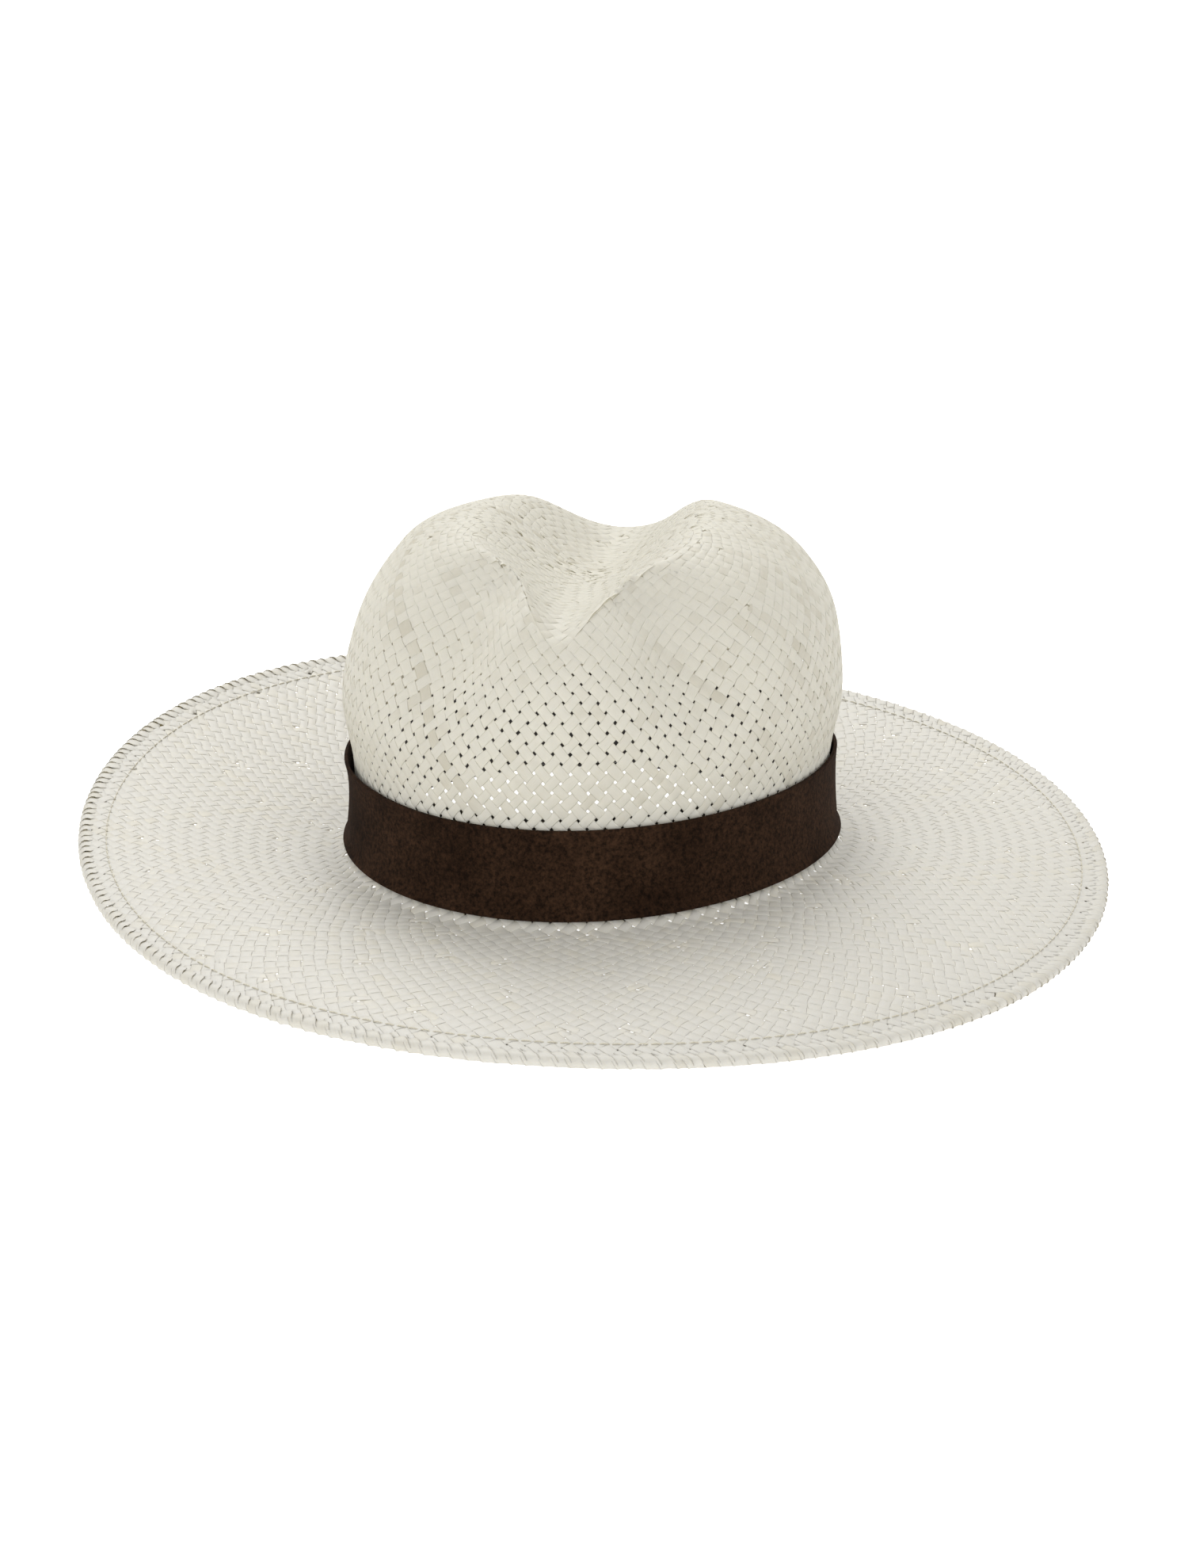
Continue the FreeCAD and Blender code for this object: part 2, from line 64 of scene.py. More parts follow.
class Family(Enum):
    """The two directions in which the strands of the weave run."""

    LEANING_LEFT = "left"
    LEANING_RIGHT = "right"


class Region(Enum):
    """Part of the hat that a group of strands covers."""

    CROWN = "crown"
    BRIM = "brim"


# ---------------------------------------------------------------- finishes


class NodeBoard:
    """Short hand for wiring nodes in one node tree."""

    def __init__(self, tree: bpy.types.NodeTree) -> None:
        """Starts on a tree.

        Args:
            tree: The material's or group's node tree.
        """
        self.tree = tree

    def add(self, kind: str, **values: object) -> bpy.types.Node:
        """Adds a node and sets its properties and unlinked inputs.

        Args:
            kind: Node type name.
            **values: Properties, or inputs given by name with spaces as underscores.

        Returns:
            The new node.
        """
        node = self.tree.nodes.new(kind)
        self.fill(node, **values)
        return node

    @staticmethod
    def fill(node: bpy.types.Node, **values: object) -> None:
        """Sets a node's properties, or its inputs by name with spaces as underscores."""
        for name, value in values.items():
            if hasattr(node, name):
                setattr(node, name, value)
            else:
                node.inputs[name.replace("_", " ")].default_value = value

    def texture(self, kind: str, place: bpy.types.NodeSocket, **values: object) -> bpy.types.Node:
        """Adds a node that reads a map or a place.

        Args:
            kind: Node type name.
            place: The socket that it reads.
            **values: As for add.

        Returns:
            The new node.
        """
        node = self.add(kind, **values)
        self.link(place, node.inputs["Vector"])
        return node

    def link(self, source: bpy.types.NodeSocket, target: bpy.types.NodeSocket) -> None:
        """Joins two sockets."""
        self.tree.links.new(source, target)

    def ramp(self, source: bpy.types.NodeSocket,
             stops: list[tuple[float, tuple[float, float, float]]]) -> bpy.types.NodeSocket:
        """Colours a value.

        Args:
            source: The value socket.
            stops: Positions from 0 to 1, each with a colour.

        Returns:
            The colour socket.
        """
        node = self.add("ShaderNodeValToRGB")
        elements = node.color_ramp.elements
        while len(elements) < len(stops):
            elements.new(0.5)
        for element, (at, colour) in zip(elements, stops):
            element.position = at
            element.color = (*colour, 1.0)
        self.link(source, node.inputs["Fac"])
        return node.outputs["Color"]

    def mix(self, factor: object, first: object, second: object,
            blend: str = "MIX") -> bpy.types.NodeSocket:
        """Blends two colours.

        Args:
            factor: Socket or number.
            first: Socket or colour.
            second: Socket or colour.
            blend: Blend mode.

        Returns:
            The colour socket.
        """
        node = self.add("ShaderNodeMix", data_type="RGBA", blend_type=blend)
        for socket, value in zip((node.inputs[0], node.inputs[6], node.inputs[7]),
                                 (factor, first, second)):
            if isinstance(value, bpy.types.NodeSocket):
                self.link(value, socket)
            elif isinstance(value, tuple):
                socket.default_value = (*value, 1.0)
            else:
                socket.default_value = value
        return node.outputs[2]

    def bump(self, height: bpy.types.NodeSocket, strength: float,
             distance: float) -> bpy.types.NodeSocket:
        """Turns a height into a normal.

        Args:
            height: The height socket.
            strength: Share of the effect.
            distance: Depth in metres.

        Returns:
            The normal socket.
        """
        node = self.add("ShaderNodeBump", Strength=strength, Distance=distance)
        self.link(height, node.inputs["Height"])
        return node.outputs["Normal"]


def new_material(name: str) -> tuple[NodeBoard, bpy.types.Node, bpy.types.Node]:
    """Makes an empty material with its shader and output.

    Args:
        name: The material's name.

    Returns:
        The node board, the main shader and the output node.
    """
    material = bpy.data.materials.new(name)
    material.use_nodes = True
    tree = material.node_tree
    shader = tree.nodes["Principled BSDF"]
    output = tree.nodes["Material Output"]
    return NodeBoard(tree), shader, output


def fibre_group() -> bpy.types.NodeTree:
    """Fine lengthwise fibres of a split straw, from the strand's own map.

    Returns:
        A node group with a streak value and a fibre height.
    """
    name = "straw_fibres"
    if name in bpy.data.node_groups:
        return bpy.data.node_groups[name]
    group = bpy.data.node_groups.new(name, "ShaderNodeTree")
    group.interface.new_socket("Streak", in_out="OUTPUT", socket_type="NodeSocketFloat")
    group.interface.new_socket("Height", in_out="OUTPUT", socket_type="NodeSocketFloat")
    board = NodeBoard(group)
    out = board.add("NodeGroupOutput")
    strand = board.add("ShaderNodeUVMap", uv_map="strand")
    for name, stretch, detail, roughness in (("Streak", (0.35, 9.0, 1.0), 2.0, 0.6),
                                             ("Height", (0.5, 26.0, 1.0), 1.0, 0.5)):
        stretched = board.texture("ShaderNodeMapping", strand.outputs["UV"], Scale=stretch)
        noise = board.texture("ShaderNodeTexNoise", stretched.outputs["Vector"],
                              Scale=1.0, Detail=detail, Roughness=roughness)
        board.link(noise.outputs["Fac"], out.inputs[name])
    return group


@dataclass(frozen=True)
class Finish:
    """A procedural material."""

    name: str

    def build(self) -> bpy.types.Material:
        """Builds the material.

        Returns:
            The new material.
        """
        board, shader, output = new_material(self.name)
        self.paint(board, shader, output)
        return bpy.data.materials[self.name]

    def paint(self, board: NodeBoard, shader: bpy.types.Node, output: bpy.types.Node) -> None:
        """Wires the look; each finish has its own.

        Args:
            board: The material's node board.
            shader: Its main shader.
            output: Its output node.
        """
        raise NotImplementedError


@dataclass(frozen=True)
class StrawFinish(Finish):
    """Bleached split straw: cream, faintly glossy, lets light through."""

    pale: tuple[float, float, float] = (0.735, 0.722, 0.675)
    deep: tuple[float, float, float] = (0.700, 0.675, 0.600)
    glow: tuple[float, float, float] = (0.840, 0.760, 0.500)
    see_through: float = 0.30
    roughness: float = 0.50

    def paint(self, board: NodeBoard, shader: bpy.types.Node, output: bpy.types.Node) -> None:
        """Fibre streaks over a base that lets some light through.

        Args:
            board: The material's node board.
            shader: Its main shader.
            output: Its output node.
        """
        fibres = board.add("ShaderNodeGroup")
        fibres.node_tree = fibre_group()
        tone = board.add("ShaderNodeAttribute", attribute_name="tone")
        base = board.ramp(tone.outputs["Fac"], [(0.0, self.deep), (0.45, self.pale),
                                                (1.0, self.pale)])
        streaked = board.ramp(fibres.outputs["Streak"],
                              [(0.30, (0.93, 0.91, 0.86)), (0.55, (1.0, 1.0, 1.0))])
        colour = board.mix(0.50, base, streaked, "MULTIPLY")
        normal = board.bump(fibres.outputs["Height"], 0.25, 0.00006)
        board.link(colour, shader.inputs["Base Color"])
        board.link(normal, shader.inputs["Normal"])
        board.fill(shader, Roughness=self.roughness, Specular_IOR_Level=0.35)
        light = board.add("ShaderNodeBsdfTranslucent", Color=(*self.glow, 1.0))
        both = board.add("ShaderNodeMixShader")
        both.inputs[0].default_value = self.see_through
        board.link(shader.outputs["BSDF"], both.inputs[1])
        board.link(light.outputs["BSDF"], both.inputs[2])
        board.link(both.outputs["Shader"], output.inputs["Surface"])


@dataclass(frozen=True)
class SuedeFinish(Finish):
    """Dark brown suede with a short, unevenly brushed nap."""

    dark: tuple[float, float, float] = (0.0085, 0.0040, 0.0020)
    light: tuple[float, float, float] = (0.031, 0.0165, 0.0095)

    def paint(self, board: NodeBoard, shader: bpy.types.Node, output: bpy.types.Node) -> None:
        """Speckled brown patches under a fine nap.

        Args:
            board: The material's node board.
            shader: Its main shader.
            output: Its output node.
        """
        where = board.add("ShaderNodeTexCoord").outputs["Object"]
        patches, nap, grain = (
            board.texture("ShaderNodeTexNoise", where, Scale=scale, Detail=detail, Roughness=rough)
            for scale, detail, rough in ((38.0, 6.0, 0.66), (3000.0, 3.0, 0.7), (640.0, 5.0, 0.8)))
        mottled = board.ramp(patches.outputs["Fac"], [(0.26, self.dark), (0.76, self.light)])
        speckled = board.ramp(grain.outputs["Fac"], [(0.38, (0.38, 0.38, 0.38)),
                                                     (0.64, (1.95, 1.85, 1.75))])
        colour = board.mix(1.0, mottled, speckled, "MULTIPLY")
        board.link(colour, shader.inputs["Base Color"])
        heights = board.mix(0.5, grain.outputs["Fac"], nap.outputs["Fac"])
        board.link(board.bump(heights, 0.55, 0.00035), shader.inputs["Normal"])
        board.fill(shader, Roughness=0.95, Specular_IOR_Level=0.05, Sheen_Weight=0.03,
                   Sheen_Roughness=0.6, Sheen_Tint=(0.36, 0.25, 0.19, 1.0))


@dataclass(frozen=True)
class RibbonFinish(Finish):
    """Dark ribbed ribbon, with upright ribs a millimetre apart."""

    colour: tuple[float, float, float] = (0.014, 0.011, 0.010)
    worn: tuple[float, float, float] = (0.034, 0.027, 0.024)
    ribs_per_metre: float = 900.0

    def paint(self, board: NodeBoard, shader: bpy.types.Node, output: bpy.types.Node) -> None:
        """Ribs and weft, the grooves between the ribs darkened as painted shade.

        Args:
            board: The material's node board.
            shader: Its main shader.
            output: Its output node.
        """
        along = board.add("ShaderNodeUVMap", uv_map="cloth").outputs["UV"]
        ribs = board.texture("ShaderNodeTexWave", along, wave_type="BANDS", bands_direction="X",
                             Scale=self.ribs_per_metre / 6.283, Distortion=0.25, Detail=1.0,
                             Detail_Scale=2.0)
        weft = board.texture("ShaderNodeTexWave", along, wave_type="BANDS", bands_direction="Y",
                             Scale=self.ribs_per_metre / 3.0, Distortion=0.4)
        cloud = board.texture("ShaderNodeTexNoise", along, Scale=60.0, Detail=4.0)
        tint = board.ramp(cloud.outputs["Fac"], [(0.35, self.colour), (0.75, self.worn)])
        # Painted shade: the grooves between the ribs are painted darker, standing in for the shade
        # that falls in them.
        shade = board.ramp(ribs.outputs["Fac"], [(0.0, (0.55, 0.55, 0.55)), (0.6, (1.0, 1.0, 1.0))])
        board.link(board.mix(1.0, tint, shade, "MULTIPLY"), shader.inputs["Base Color"])
        both = board.mix(0.35, ribs.outputs["Fac"], weft.outputs["Fac"])
        board.link(board.bump(both, 0.7, 0.00025), shader.inputs["Normal"])
        board.fill(shader, Roughness=0.72, Sheen_Weight=0.2)


@dataclass(frozen=True)
class ThreadFinish(Finish):
    """Twisted sewing thread."""

    colour: tuple[float, float, float]

    def paint(self, board: NodeBoard, shader: bpy.types.Node, output: bpy.types.Node) -> None:
        """Diagonal twist, its grooves darkened as painted shade.

        Args:
            board: The material's node board.
            shader: Its main shader.
            output: Its output node.
        """
        along = board.add("ShaderNodeUVMap", uv_map="thread").outputs["UV"]
        twist = board.texture("ShaderNodeTexWave", along, wave_type="BANDS",
                              bands_direction="DIAGONAL", Scale=1.6, Distortion=0.3)
        # Painted shade: the grooves of the twist are painted darker, standing in for the shade in
        # them.
        low = tuple(0.62 * part for part in self.colour)
        board.link(board.ramp(twist.outputs["Fac"], [(0.0, low), (0.6, self.colour)]),
                   shader.inputs["Base Color"])
        board.link(board.bump(twist.outputs["Fac"], 0.6, 0.0001), shader.inputs["Normal"])
        board.fill(shader, Roughness=0.5)


@dataclass(frozen=True)
class WireFinish(Finish):
    """Plain drawn steel wire."""

    colour: tuple[float, float, float] = (0.42, 0.42, 0.43)

    def paint(self, board: NodeBoard, shader: bpy.types.Node, output: bpy.types.Node) -> None:
        """Fine drawing marks on metal.

        Args:
            board: The material's node board.
            shader: Its main shader.
            output: Its output node.
        """
        where = board.add("ShaderNodeTexCoord").outputs["Object"]
        drawn = board.texture("ShaderNodeTexNoise", where, Scale=900.0, Detail=3.0)
        worn = tuple(0.7 * part for part in self.colour)
        board.link(board.ramp(drawn.outputs["Fac"], [(0.3, worn), (0.7, self.colour)]),
                   shader.inputs["Base Color"])
        board.fill(shader, Metallic=1.0, Roughness=0.38)


# ---------------------------------------------------------------- the form of the hat


def smooth_step(low: float, high: float, value: np.ndarray) -> np.ndarray:
    """0 below low, 1 above high, with a soft change between them."""
    share = np.clip((value - low) / (high - low), 0.0, 1.0)
    return share * share * (3.0 - 2.0 * share)


def between(keys: np.ndarray, column: int, value: np.ndarray) -> np.ndarray:
    """Smooth curve through one column of a table whose first column ascends.

    Args:
        keys: The table.
        column: Column that is read.
        value: Places along the first column.

    Returns:
        The curve's values.
    """
    x, y = keys[:, 0], keys[:, column]
    ahead = np.minimum(np.arange(len(x)) + 1, len(x) - 1)
    behind = np.maximum(np.arange(len(x)) - 1, 0)
    slope = (y[ahead] - y[behind]) / (x[ahead] - x[behind])
    held = np.clip(value, x[0], x[-1])
    i = np.clip(np.searchsorted(x, held, side="right") - 1, 0, len(x) - 2)
    run = x[i + 1] - x[i]
    f = (held - x[i]) / run
    return (y[i] * (1 + 2 * f) * (1 - f) ** 2 + y[i + 1] * f * f * (3 - 2 * f)
            + run * slope[i] * f * (1 - f) ** 2 - run * slope[i + 1] * f * f * (1 - f))


def catmull_rom(values: np.ndarray, at: np.ndarray) -> np.ndarray:
    """Smooth curve through evenly numbered values.

    Args:
        values: One number or one row of numbers for each.
        at: Places on the curve, counted in values.

    Returns:
        The curve's values.
    """
    last = len(values) - 1
    i = np.minimum(at.astype(int), last - 1)
    f = (at - i)[..., None] if values.ndim > 1 else at - i
    a, b = values[np.maximum(0, i - 1)], values[i]
    c, d = values[i + 1], values[np.minimum(last, i + 2)]
    return 0.5 * (2 * b + (c - a) * f + (2 * a - 5 * b + 4 * c - d) * f ** 2
                  + (3 * b - a - 3 * c + d) * f ** 3)


def travelled(line: np.ndarray) -> np.ndarray:
    """Distance travelled to each point of a line."""
    return np.concatenate([[0.0], np.cumsum(np.linalg.norm(np.diff(line, axis=0), axis=1))])


@dataclass
class HatForm:
    """Outside face of the straw, in millimetres, with the same sizes as the CAD part."""

    half_width: float = 85.0
    half_length: float = 103.0
    egg: float = 0.02
    crown_height: float = 116.4
    straw: float = 1.2
    flare: float = 7.0
    profile: tuple = (
        (0.060, 0.995, 0.995, 0.995), (0.172, 0.985, 0.985, 0.985),
        (0.292, 0.990, 0.980, 0.985), (0.447, 1.030, 0.975, 1.000),
        (0.601, 1.020, 0.940, 0.995), (0.722, 0.985, 0.880, 0.955),
        (0.820, 0.910, 0.785, 0.890), (0.898, 0.810, 0.650, 0.780),
        (0.954, 0.665, 0.490, 0.630), (0.984, 0.470, 0.310, 0.430),
        (0.997, 0.220, 0.150, 0.200), (1.000, 0.000, 0.000, 0.000))
    right_lean: float = 0.05
    lean_heights: tuple = (0.45, 0.80, 0.86, 0.97)
    crease: tuple = (
        (-1.01, 0.060, 0.000), (-0.88, 0.060, 0.000), (-0.78, 0.130, 0.043),
        (-0.64, 0.285, 0.103), (-0.47, 0.415, 0.159), (-0.23, 0.525, 0.190),
        (0.05, 0.540, 0.206), (0.34, 0.500, 0.215), (0.60, 0.430, 0.180),
        (0.84, 0.400, 0.068), (1.01, 0.400, 0.000))
    crease_heights: tuple = (0.60, 0.825)
    crease_edge: tuple = ((-0.78, 1.5), (-0.20, 2.5))
    pinches: tuple = (
        (-1, (0.424, -0.621, 0.799), (0.553, -0.796, 0.533), 14.0, 18.0),
        (1, (0.435, -0.660, 0.799), (0.659, -0.796, 0.533), 13.0, 16.0))
    pinch_push: tuple = (0.72, 0.68)
    pinch_fade: tuple = (0.35, 1.25)
    brim_width: float = 96.2
    edge_level: float = 1.0
    edge_waves: tuple = ((-13.0, 17.4), (0.1, -2.1), (-0.6, 2.0))
    side_shift: float = 1.5
    dip_level: float = -2.4
    dip_waves: tuple = ((0.6, 0.3), (1.05, -0.4))
    dip_heights: tuple = (40.0, 95.0)
    dip_sizes: tuple = (1.0, 1.9)
    brim_curl: float = 0.65
    wire: float = 1.0
    wire_clearance: float = 0.1
    hem_gap: float = 0.2
    hem_close: float = 3.3
    crown_run: float = field(init=False)
    brim_run: float = field(init=False)

    def __post_init__(self) -> None:
        """Measures the mean distance from the crown's centre down to its foot."""
        shares = np.linspace(0.0, 1.0, 400)
        angles = np.linspace(0.0, 2.0 * np.pi, 24, endpoint=False)
        mean = np.mean([travelled(self.crown(np.full_like(shares, angle), shares, False))
                        for angle in angles], axis=0)
        self._shares, self._runs = shares, mean
        self.crown_run = float(mean[-1])
        self.brim_run = self.flare * math.pi / 2.0 + self.brim_width - self.flare

    @property
    def fold(self) -> float:
        """Outside radius of the hem fold."""
        return self.straw + self.wire / 2.0 + self.wire_clearance

    def _dent(self, x: np.ndarray, y: np.ndarray, z: np.ndarray) -> tuple:
        """Moves points of the plain dome to where creasing and pinching put them.

        Args:
            x: Distances to the wearer's left.
            y: Distances to the back.
            z: Heights.

        Returns:
            The three moved distances.
        """
        crease = np.array(self.crease)
        place, height = y / self.half_length, z / self.crown_height
        half = between(crease, 1, place) * self.half_width
        depth = between(crease, 2, place) * self.crown_height
        roundness = between(np.array(self.crease_edge), 1, place)
        across = np.minimum(1.0, np.abs(x) / half)
        drop = depth * np.maximum(0.0, 1.0 - across ** 2) ** roundness
        drop = drop * smooth_step(self.crease_heights[0], self.crease_heights[1], height)
        push_x, push_y = np.zeros_like(x), np.zeros_like(x)
        for side, upper, lower, radius, deep in self.pinches:
            sizes = np.array([self.half_width * side, self.half_length, self.crown_height])
            top, foot = np.array(upper) * sizes, np.array(lower) * sizes
            line = foot - top
            offset = np.stack([x, y, z], -1) - top
            along = offset @ line / (line @ line)
            away = offset - np.clip(along, 0.0, 1.0)[..., None] * line
            distance = np.linalg.norm(away, axis=-1)
            fade = 1.0 - smooth_step(self.pinch_fade[0], self.pinch_fade[1], along)
            push = deep * fade * np.exp(-0.5 * (distance / radius) ** 2)
            push_x = push_x - side * self.pinch_push[0] * push
            push_y = push_y + self.pinch_push[1] * push
        x = x + push_x
        low, high, back, end = self.lean_heights
        lean = self.right_lean * smooth_step(low, high, height)
        lean = lean * (1.0 - smooth_step(back, end, height))
        return np.where(x < 0.0, x * (1.0 - lean), x), y + push_y, z - drop

    def crown(self, angle: np.ndarray, share: np.ndarray, dented: bool = True) -> np.ndarray:
        """Outer face of the crown.

        Args:
            angle: Angle round the hat, from +X towards the back.
            share: 0 at the top centre and 1 at the top of the flare.
            dented: Whether crease and pinches are in it.

        Returns:
            Points, one row each.
        """
        keys = np.array(self.profile)
        row = catmull_rom(keys, np.clip(1.0 - share, 0.0, 1.0) * (len(keys) - 1))
        forward = 0.5 - 0.5 * np.sin(angle)
        length = row[..., 2] * forward + row[..., 3] * (1.0 - forward)
        x = self.half_width * row[..., 1] * np.cos(angle) * (1.0 + self.egg * np.sin(angle))
        y = self.half_length * length * np.sin(angle)
        foot = keys[0, 0]
        rise = (row[..., 0] - foot) / (1.0 - foot)
        z = self.flare + (self.crown_height - self.flare) * rise
        if dented:
            x, y, z = self._dent(x, y, z)
        return np.stack([x, y, z], -1)

    @staticmethod
    def wavy(level: float, waves: tuple, angle: np.ndarray) -> np.ndarray:
        """Level part plus the cosine and sine parts at each angle.

        Args:
            level: Mean height.
            waves: Cosine and sine parts, one pair for each wave number from 1.
            angle: Angles round the hat.

        Returns:
            Height at each angle.
        """
        height = np.full_like(angle, level)
        for n, (cosine, sine) in enumerate(waves, start=1):
            height = height + cosine * np.cos(n * angle) + sine * np.sin(n * angle)
        return height

    def dipped(self, points: np.ndarray) -> np.ndarray:
        """Moves points of the level hat to where the dip of the brim's inner line puts them.

        Args:
            points: Points of the level hat, one row each.

        Returns:
            The moved points.
        """
        across, along = points[..., 0] / self.half_width, points[..., 1] / self.half_length
        dip = self.wavy(self.dip_level, self.dip_waves, np.arctan2(along, across))
        dip = dip * (1.0 - smooth_step(*self.dip_heights, points[..., 2]))
        dip = dip * (1.0 - smooth_step(*self.dip_sizes, np.hypot(across, along)))
        return np.stack([points[..., 0], points[..., 1], points[..., 2] + dip], -1)

    def brim(self, angle: np.ndarray, run: np.ndarray) -> np.ndarray:
        """Upper face of flare and brim.

        Args:
            angle: Angle round the hat.
            run: Distance along the brim from the top of the flare.

        Returns:
            Points, one row each.
        """
        quarter = self.flare * math.pi / 2.0
        flat = self.brim_width - self.flare
        turn = np.clip(run, 0.0, quarter) / self.flare
        q = np.maximum(0.0, run - quarter) / flat
        out = self.flare * (1.0 - np.cos(turn)) + (flat + self.side_shift * np.cos(angle)) * q
        rise = self.wavy(self.edge_level, self.edge_waves, angle)
        rise = rise * ((1.0 - self.brim_curl) * q + self.brim_curl * q * q)
        z = np.where(run < quarter, self.flare * (1.0 - np.sin(turn)), rise)
        _, side, front, _ = self.profile[0]
        x = (self.half_width * side * (1.0 + self.egg * np.sin(angle)) + out) * np.cos(angle)
        y = (self.half_length * front + out) * np.sin(angle)
        return np.stack([x, y, z], -1)

    def face(self, angle: np.ndarray, run: np.ndarray, dented: bool = True) -> np.ndarray:
        """Outer face of the straw at a distance from the crown's centre.

        Args:
            angle: Angle round the hat.
            run: Distance along the straw from the centre of the crown.
            dented: Whether crease and pinches are in it.

        Returns:
            Points, one row each.
        """
        share = np.interp(run, self._runs, self._shares)
        on_crown = self.crown(angle, share, dented)
        on_brim = self.brim(angle, np.maximum(0.0, run - self.crown_run))
        return self.dipped(np.where((run < self.crown_run)[..., None], on_crown, on_brim))

    def normal(self, angle: np.ndarray, run: np.ndarray) -> np.ndarray:
        """Direction away from the head, one row for each place.

        Args:
            angle: Angles round the hat.
            run: Distances from the top along the straw.

        Returns:
            Unit directions.
        """
        down = self.face(angle, run + 0.35) - self.face(angle, np.maximum(0.0, run - 0.35))
        round_step = 0.5 / np.clip(run * 0.9, 2.0, 110.0)
        side = self.face(angle + round_step, run) - self.face(angle - round_step, run)
        out = np.cross(down, side)
        return out / np.linalg.norm(out, axis=-1, keepdims=True)

    def lifted(self, angle: np.ndarray, run: np.ndarray, lift: np.ndarray) -> np.ndarray:
        """A place lifted off the outer face by some distance."""
        return self.face(angle, run) + self.normal(angle, run) * lift[..., None]

    def inset(self, angle: np.ndarray, inset: np.ndarray, lift: np.ndarray) -> np.ndarray:
        """A place of the brim, given by its distance in from the fold line of the edge."""
        return self.lifted(angle, self.crown_run + self.brim_run - inset, lift)

    def around_edge(self, angle: np.ndarray, travel: np.ndarray, depth: float) -> tuple:
        """A place on a path over the brim edge, from its top to its underside.

        Args:
            angle: Angle round the hat.
            travel: Distance along the path; 0 is the outermost place of the edge.
            depth: How far inside the outer face the path runs.

        Returns:
            Points and the outward direction at each of them, one row each.
        """
        radius = self.fold - depth
        quarter = radius * math.pi / 2.0
        flat = np.maximum(0.0, np.abs(travel) - quarter)
        place = self.fold + flat
        top = self.inset(angle, np.full_like(angle, self.fold), np.zeros_like(angle))
        up = self.normal(angle, np.full_like(angle, self.crown_run + self.brim_run - self.fold))
        out = top - self.inset(angle, np.full_like(angle, self.fold + 1.0), np.zeros_like(angle))
        out = out / np.linalg.norm(out, axis=-1, keepdims=True)
        bend = np.clip(travel / radius, -math.pi / 2.0, math.pi / 2.0)
        centre = top - up * self.fold
        bent = centre + out * (radius * np.cos(bend))[..., None]
        bent = bent - up * (radius * np.sin(bend))[..., None]
        layers = 2.0 * self.straw + self.hem_gap
        closing = smooth_step(0.0, self.hem_close, flat)
        low = 2.0 * self.fold + (layers - 2.0 * self.fold) * closing - depth
        lift = np.where(travel < 0.0, -depth, -low)
        straight = self.inset(angle, place, lift)
        facing = self.normal(angle, self.crown_run + self.brim_run - place)
        facing = np.where((travel < 0.0)[..., None], facing, -facing)
        turned = out * np.cos(bend)[..., None] - up * np.sin(bend)[..., None]
        on_flat = (flat > 0.0)[..., None]
        return np.where(on_flat, straight, bent), np.where(on_flat, facing, turned)

    def wall(self, angle: np.ndarray, level: np.ndarray, out: np.ndarray,
             upright_below: float = 0.0) -> np.ndarray:
        """A place beside the crown wall, out from its outer face, level with a height.

        Args:
            angle: Angle round the hat.
            level: Height above the brim's inner line.
            out: Distance outwards, level.
            upright_below: Below this height the place goes straight down.

        Returns:
            Points, one row each.
        """
        height = np.maximum(level, upright_below)
        shares = np.linspace(0.0, 0.6, 400)
        levels = self.crown(np.zeros_like(shares), 1.0 - shares, False)[:, 2]
        share = 1.0 - np.interp(height, levels, shares)
        turn = np.arcsin(np.clip((self.flare - height) / self.flare, 0.0, 1.0))

        def place(a: np.ndarray) -> np.ndarray:
            """Outer face at this height."""
            return np.where((height < self.flare)[..., None],
                            self.brim(a, turn * self.flare), self.crown(a, share))

        along = place(angle + 0.01) - place(angle - 0.01)
        away = np.stack([along[..., 1], -along[..., 0], np.zeros_like(angle)], -1)
        away = away / np.linalg.norm(away, axis=-1, keepdims=True)
        places = place(angle) + away * out[..., None]
        if upright_below > 0.0:
            places[..., 2] = level
        return self.dipped(places)


# ---------------------------------------------------------------- mesh helpers


def corner_points(mesh: bpy.types.Mesh) -> np.ndarray:
    """Vertex number of each face corner.

    Args:
        mesh: The mesh.

    Returns:
        One vertex number for each face corner.
    """
    corner = np.empty(len(mesh.loops), np.int32)
    mesh.loops.foreach_get("vertex_index", corner)
    return corner


def places_of(piece: bpy.types.Object) -> np.ndarray:
    """Places of a piece's points, one row each.

    Args:
        piece: The piece.

    Returns:
        Places in the object's own units, one row for each point.
    """
    places = np.empty(len(piece.data.vertices) * 3)
    piece.data.vertices.foreach_get("co", places)
    return places.reshape(-1, 3)


def name_and_dress(piece: bpy.types.Object, name: str, material: bpy.types.Material) -> None:
    """Gives a piece its name and its one finish.

    Args:
        piece: The piece.
        name: Its name.
        material: Its finish.
    """
    piece.name = name
    piece.data.name = name
    piece.data.materials.clear()
    piece.data.materials.append(material)


def mesh_object(name: str, vertices: np.ndarray, faces: list, material: bpy.types.Material,
                uv_name: str, uv: np.ndarray,
                tone: np.ndarray | None = None) -> bpy.types.Object:
    """Makes a smooth mesh object in metres.

    Args:
        name: The piece's name.
        vertices: Points in millimetres.
        faces: Vertex numbers of each face.
        material: Its finish.
        uv_name: Name of its own map.
        uv: One map place for each vertex.
        tone: One tone value for each vertex.

    Returns:
        The object, linked to the scene.
    """
    mesh = bpy.data.meshes.new(name)
    mesh.from_pydata(np.asarray(vertices) * MM, [], faces)
    mesh.polygons.foreach_set("use_smooth", np.ones(len(mesh.polygons), bool))
    layer = mesh.uv_layers.new(name=uv_name)
    layer.data.foreach_set("uv", np.asarray(uv, np.float32)[corner_points(mesh)].ravel())
    if tone is not None:
        mesh.attributes.new("tone", "FLOAT", "POINT").data.foreach_set(
            "value", np.asarray(tone, np.float32))
    mesh.materials.append(material)
    mesh.update()
    piece = bpy.data.objects.new(name, mesh)
    bpy.context.scene.collection.objects.link(piece)
    return piece


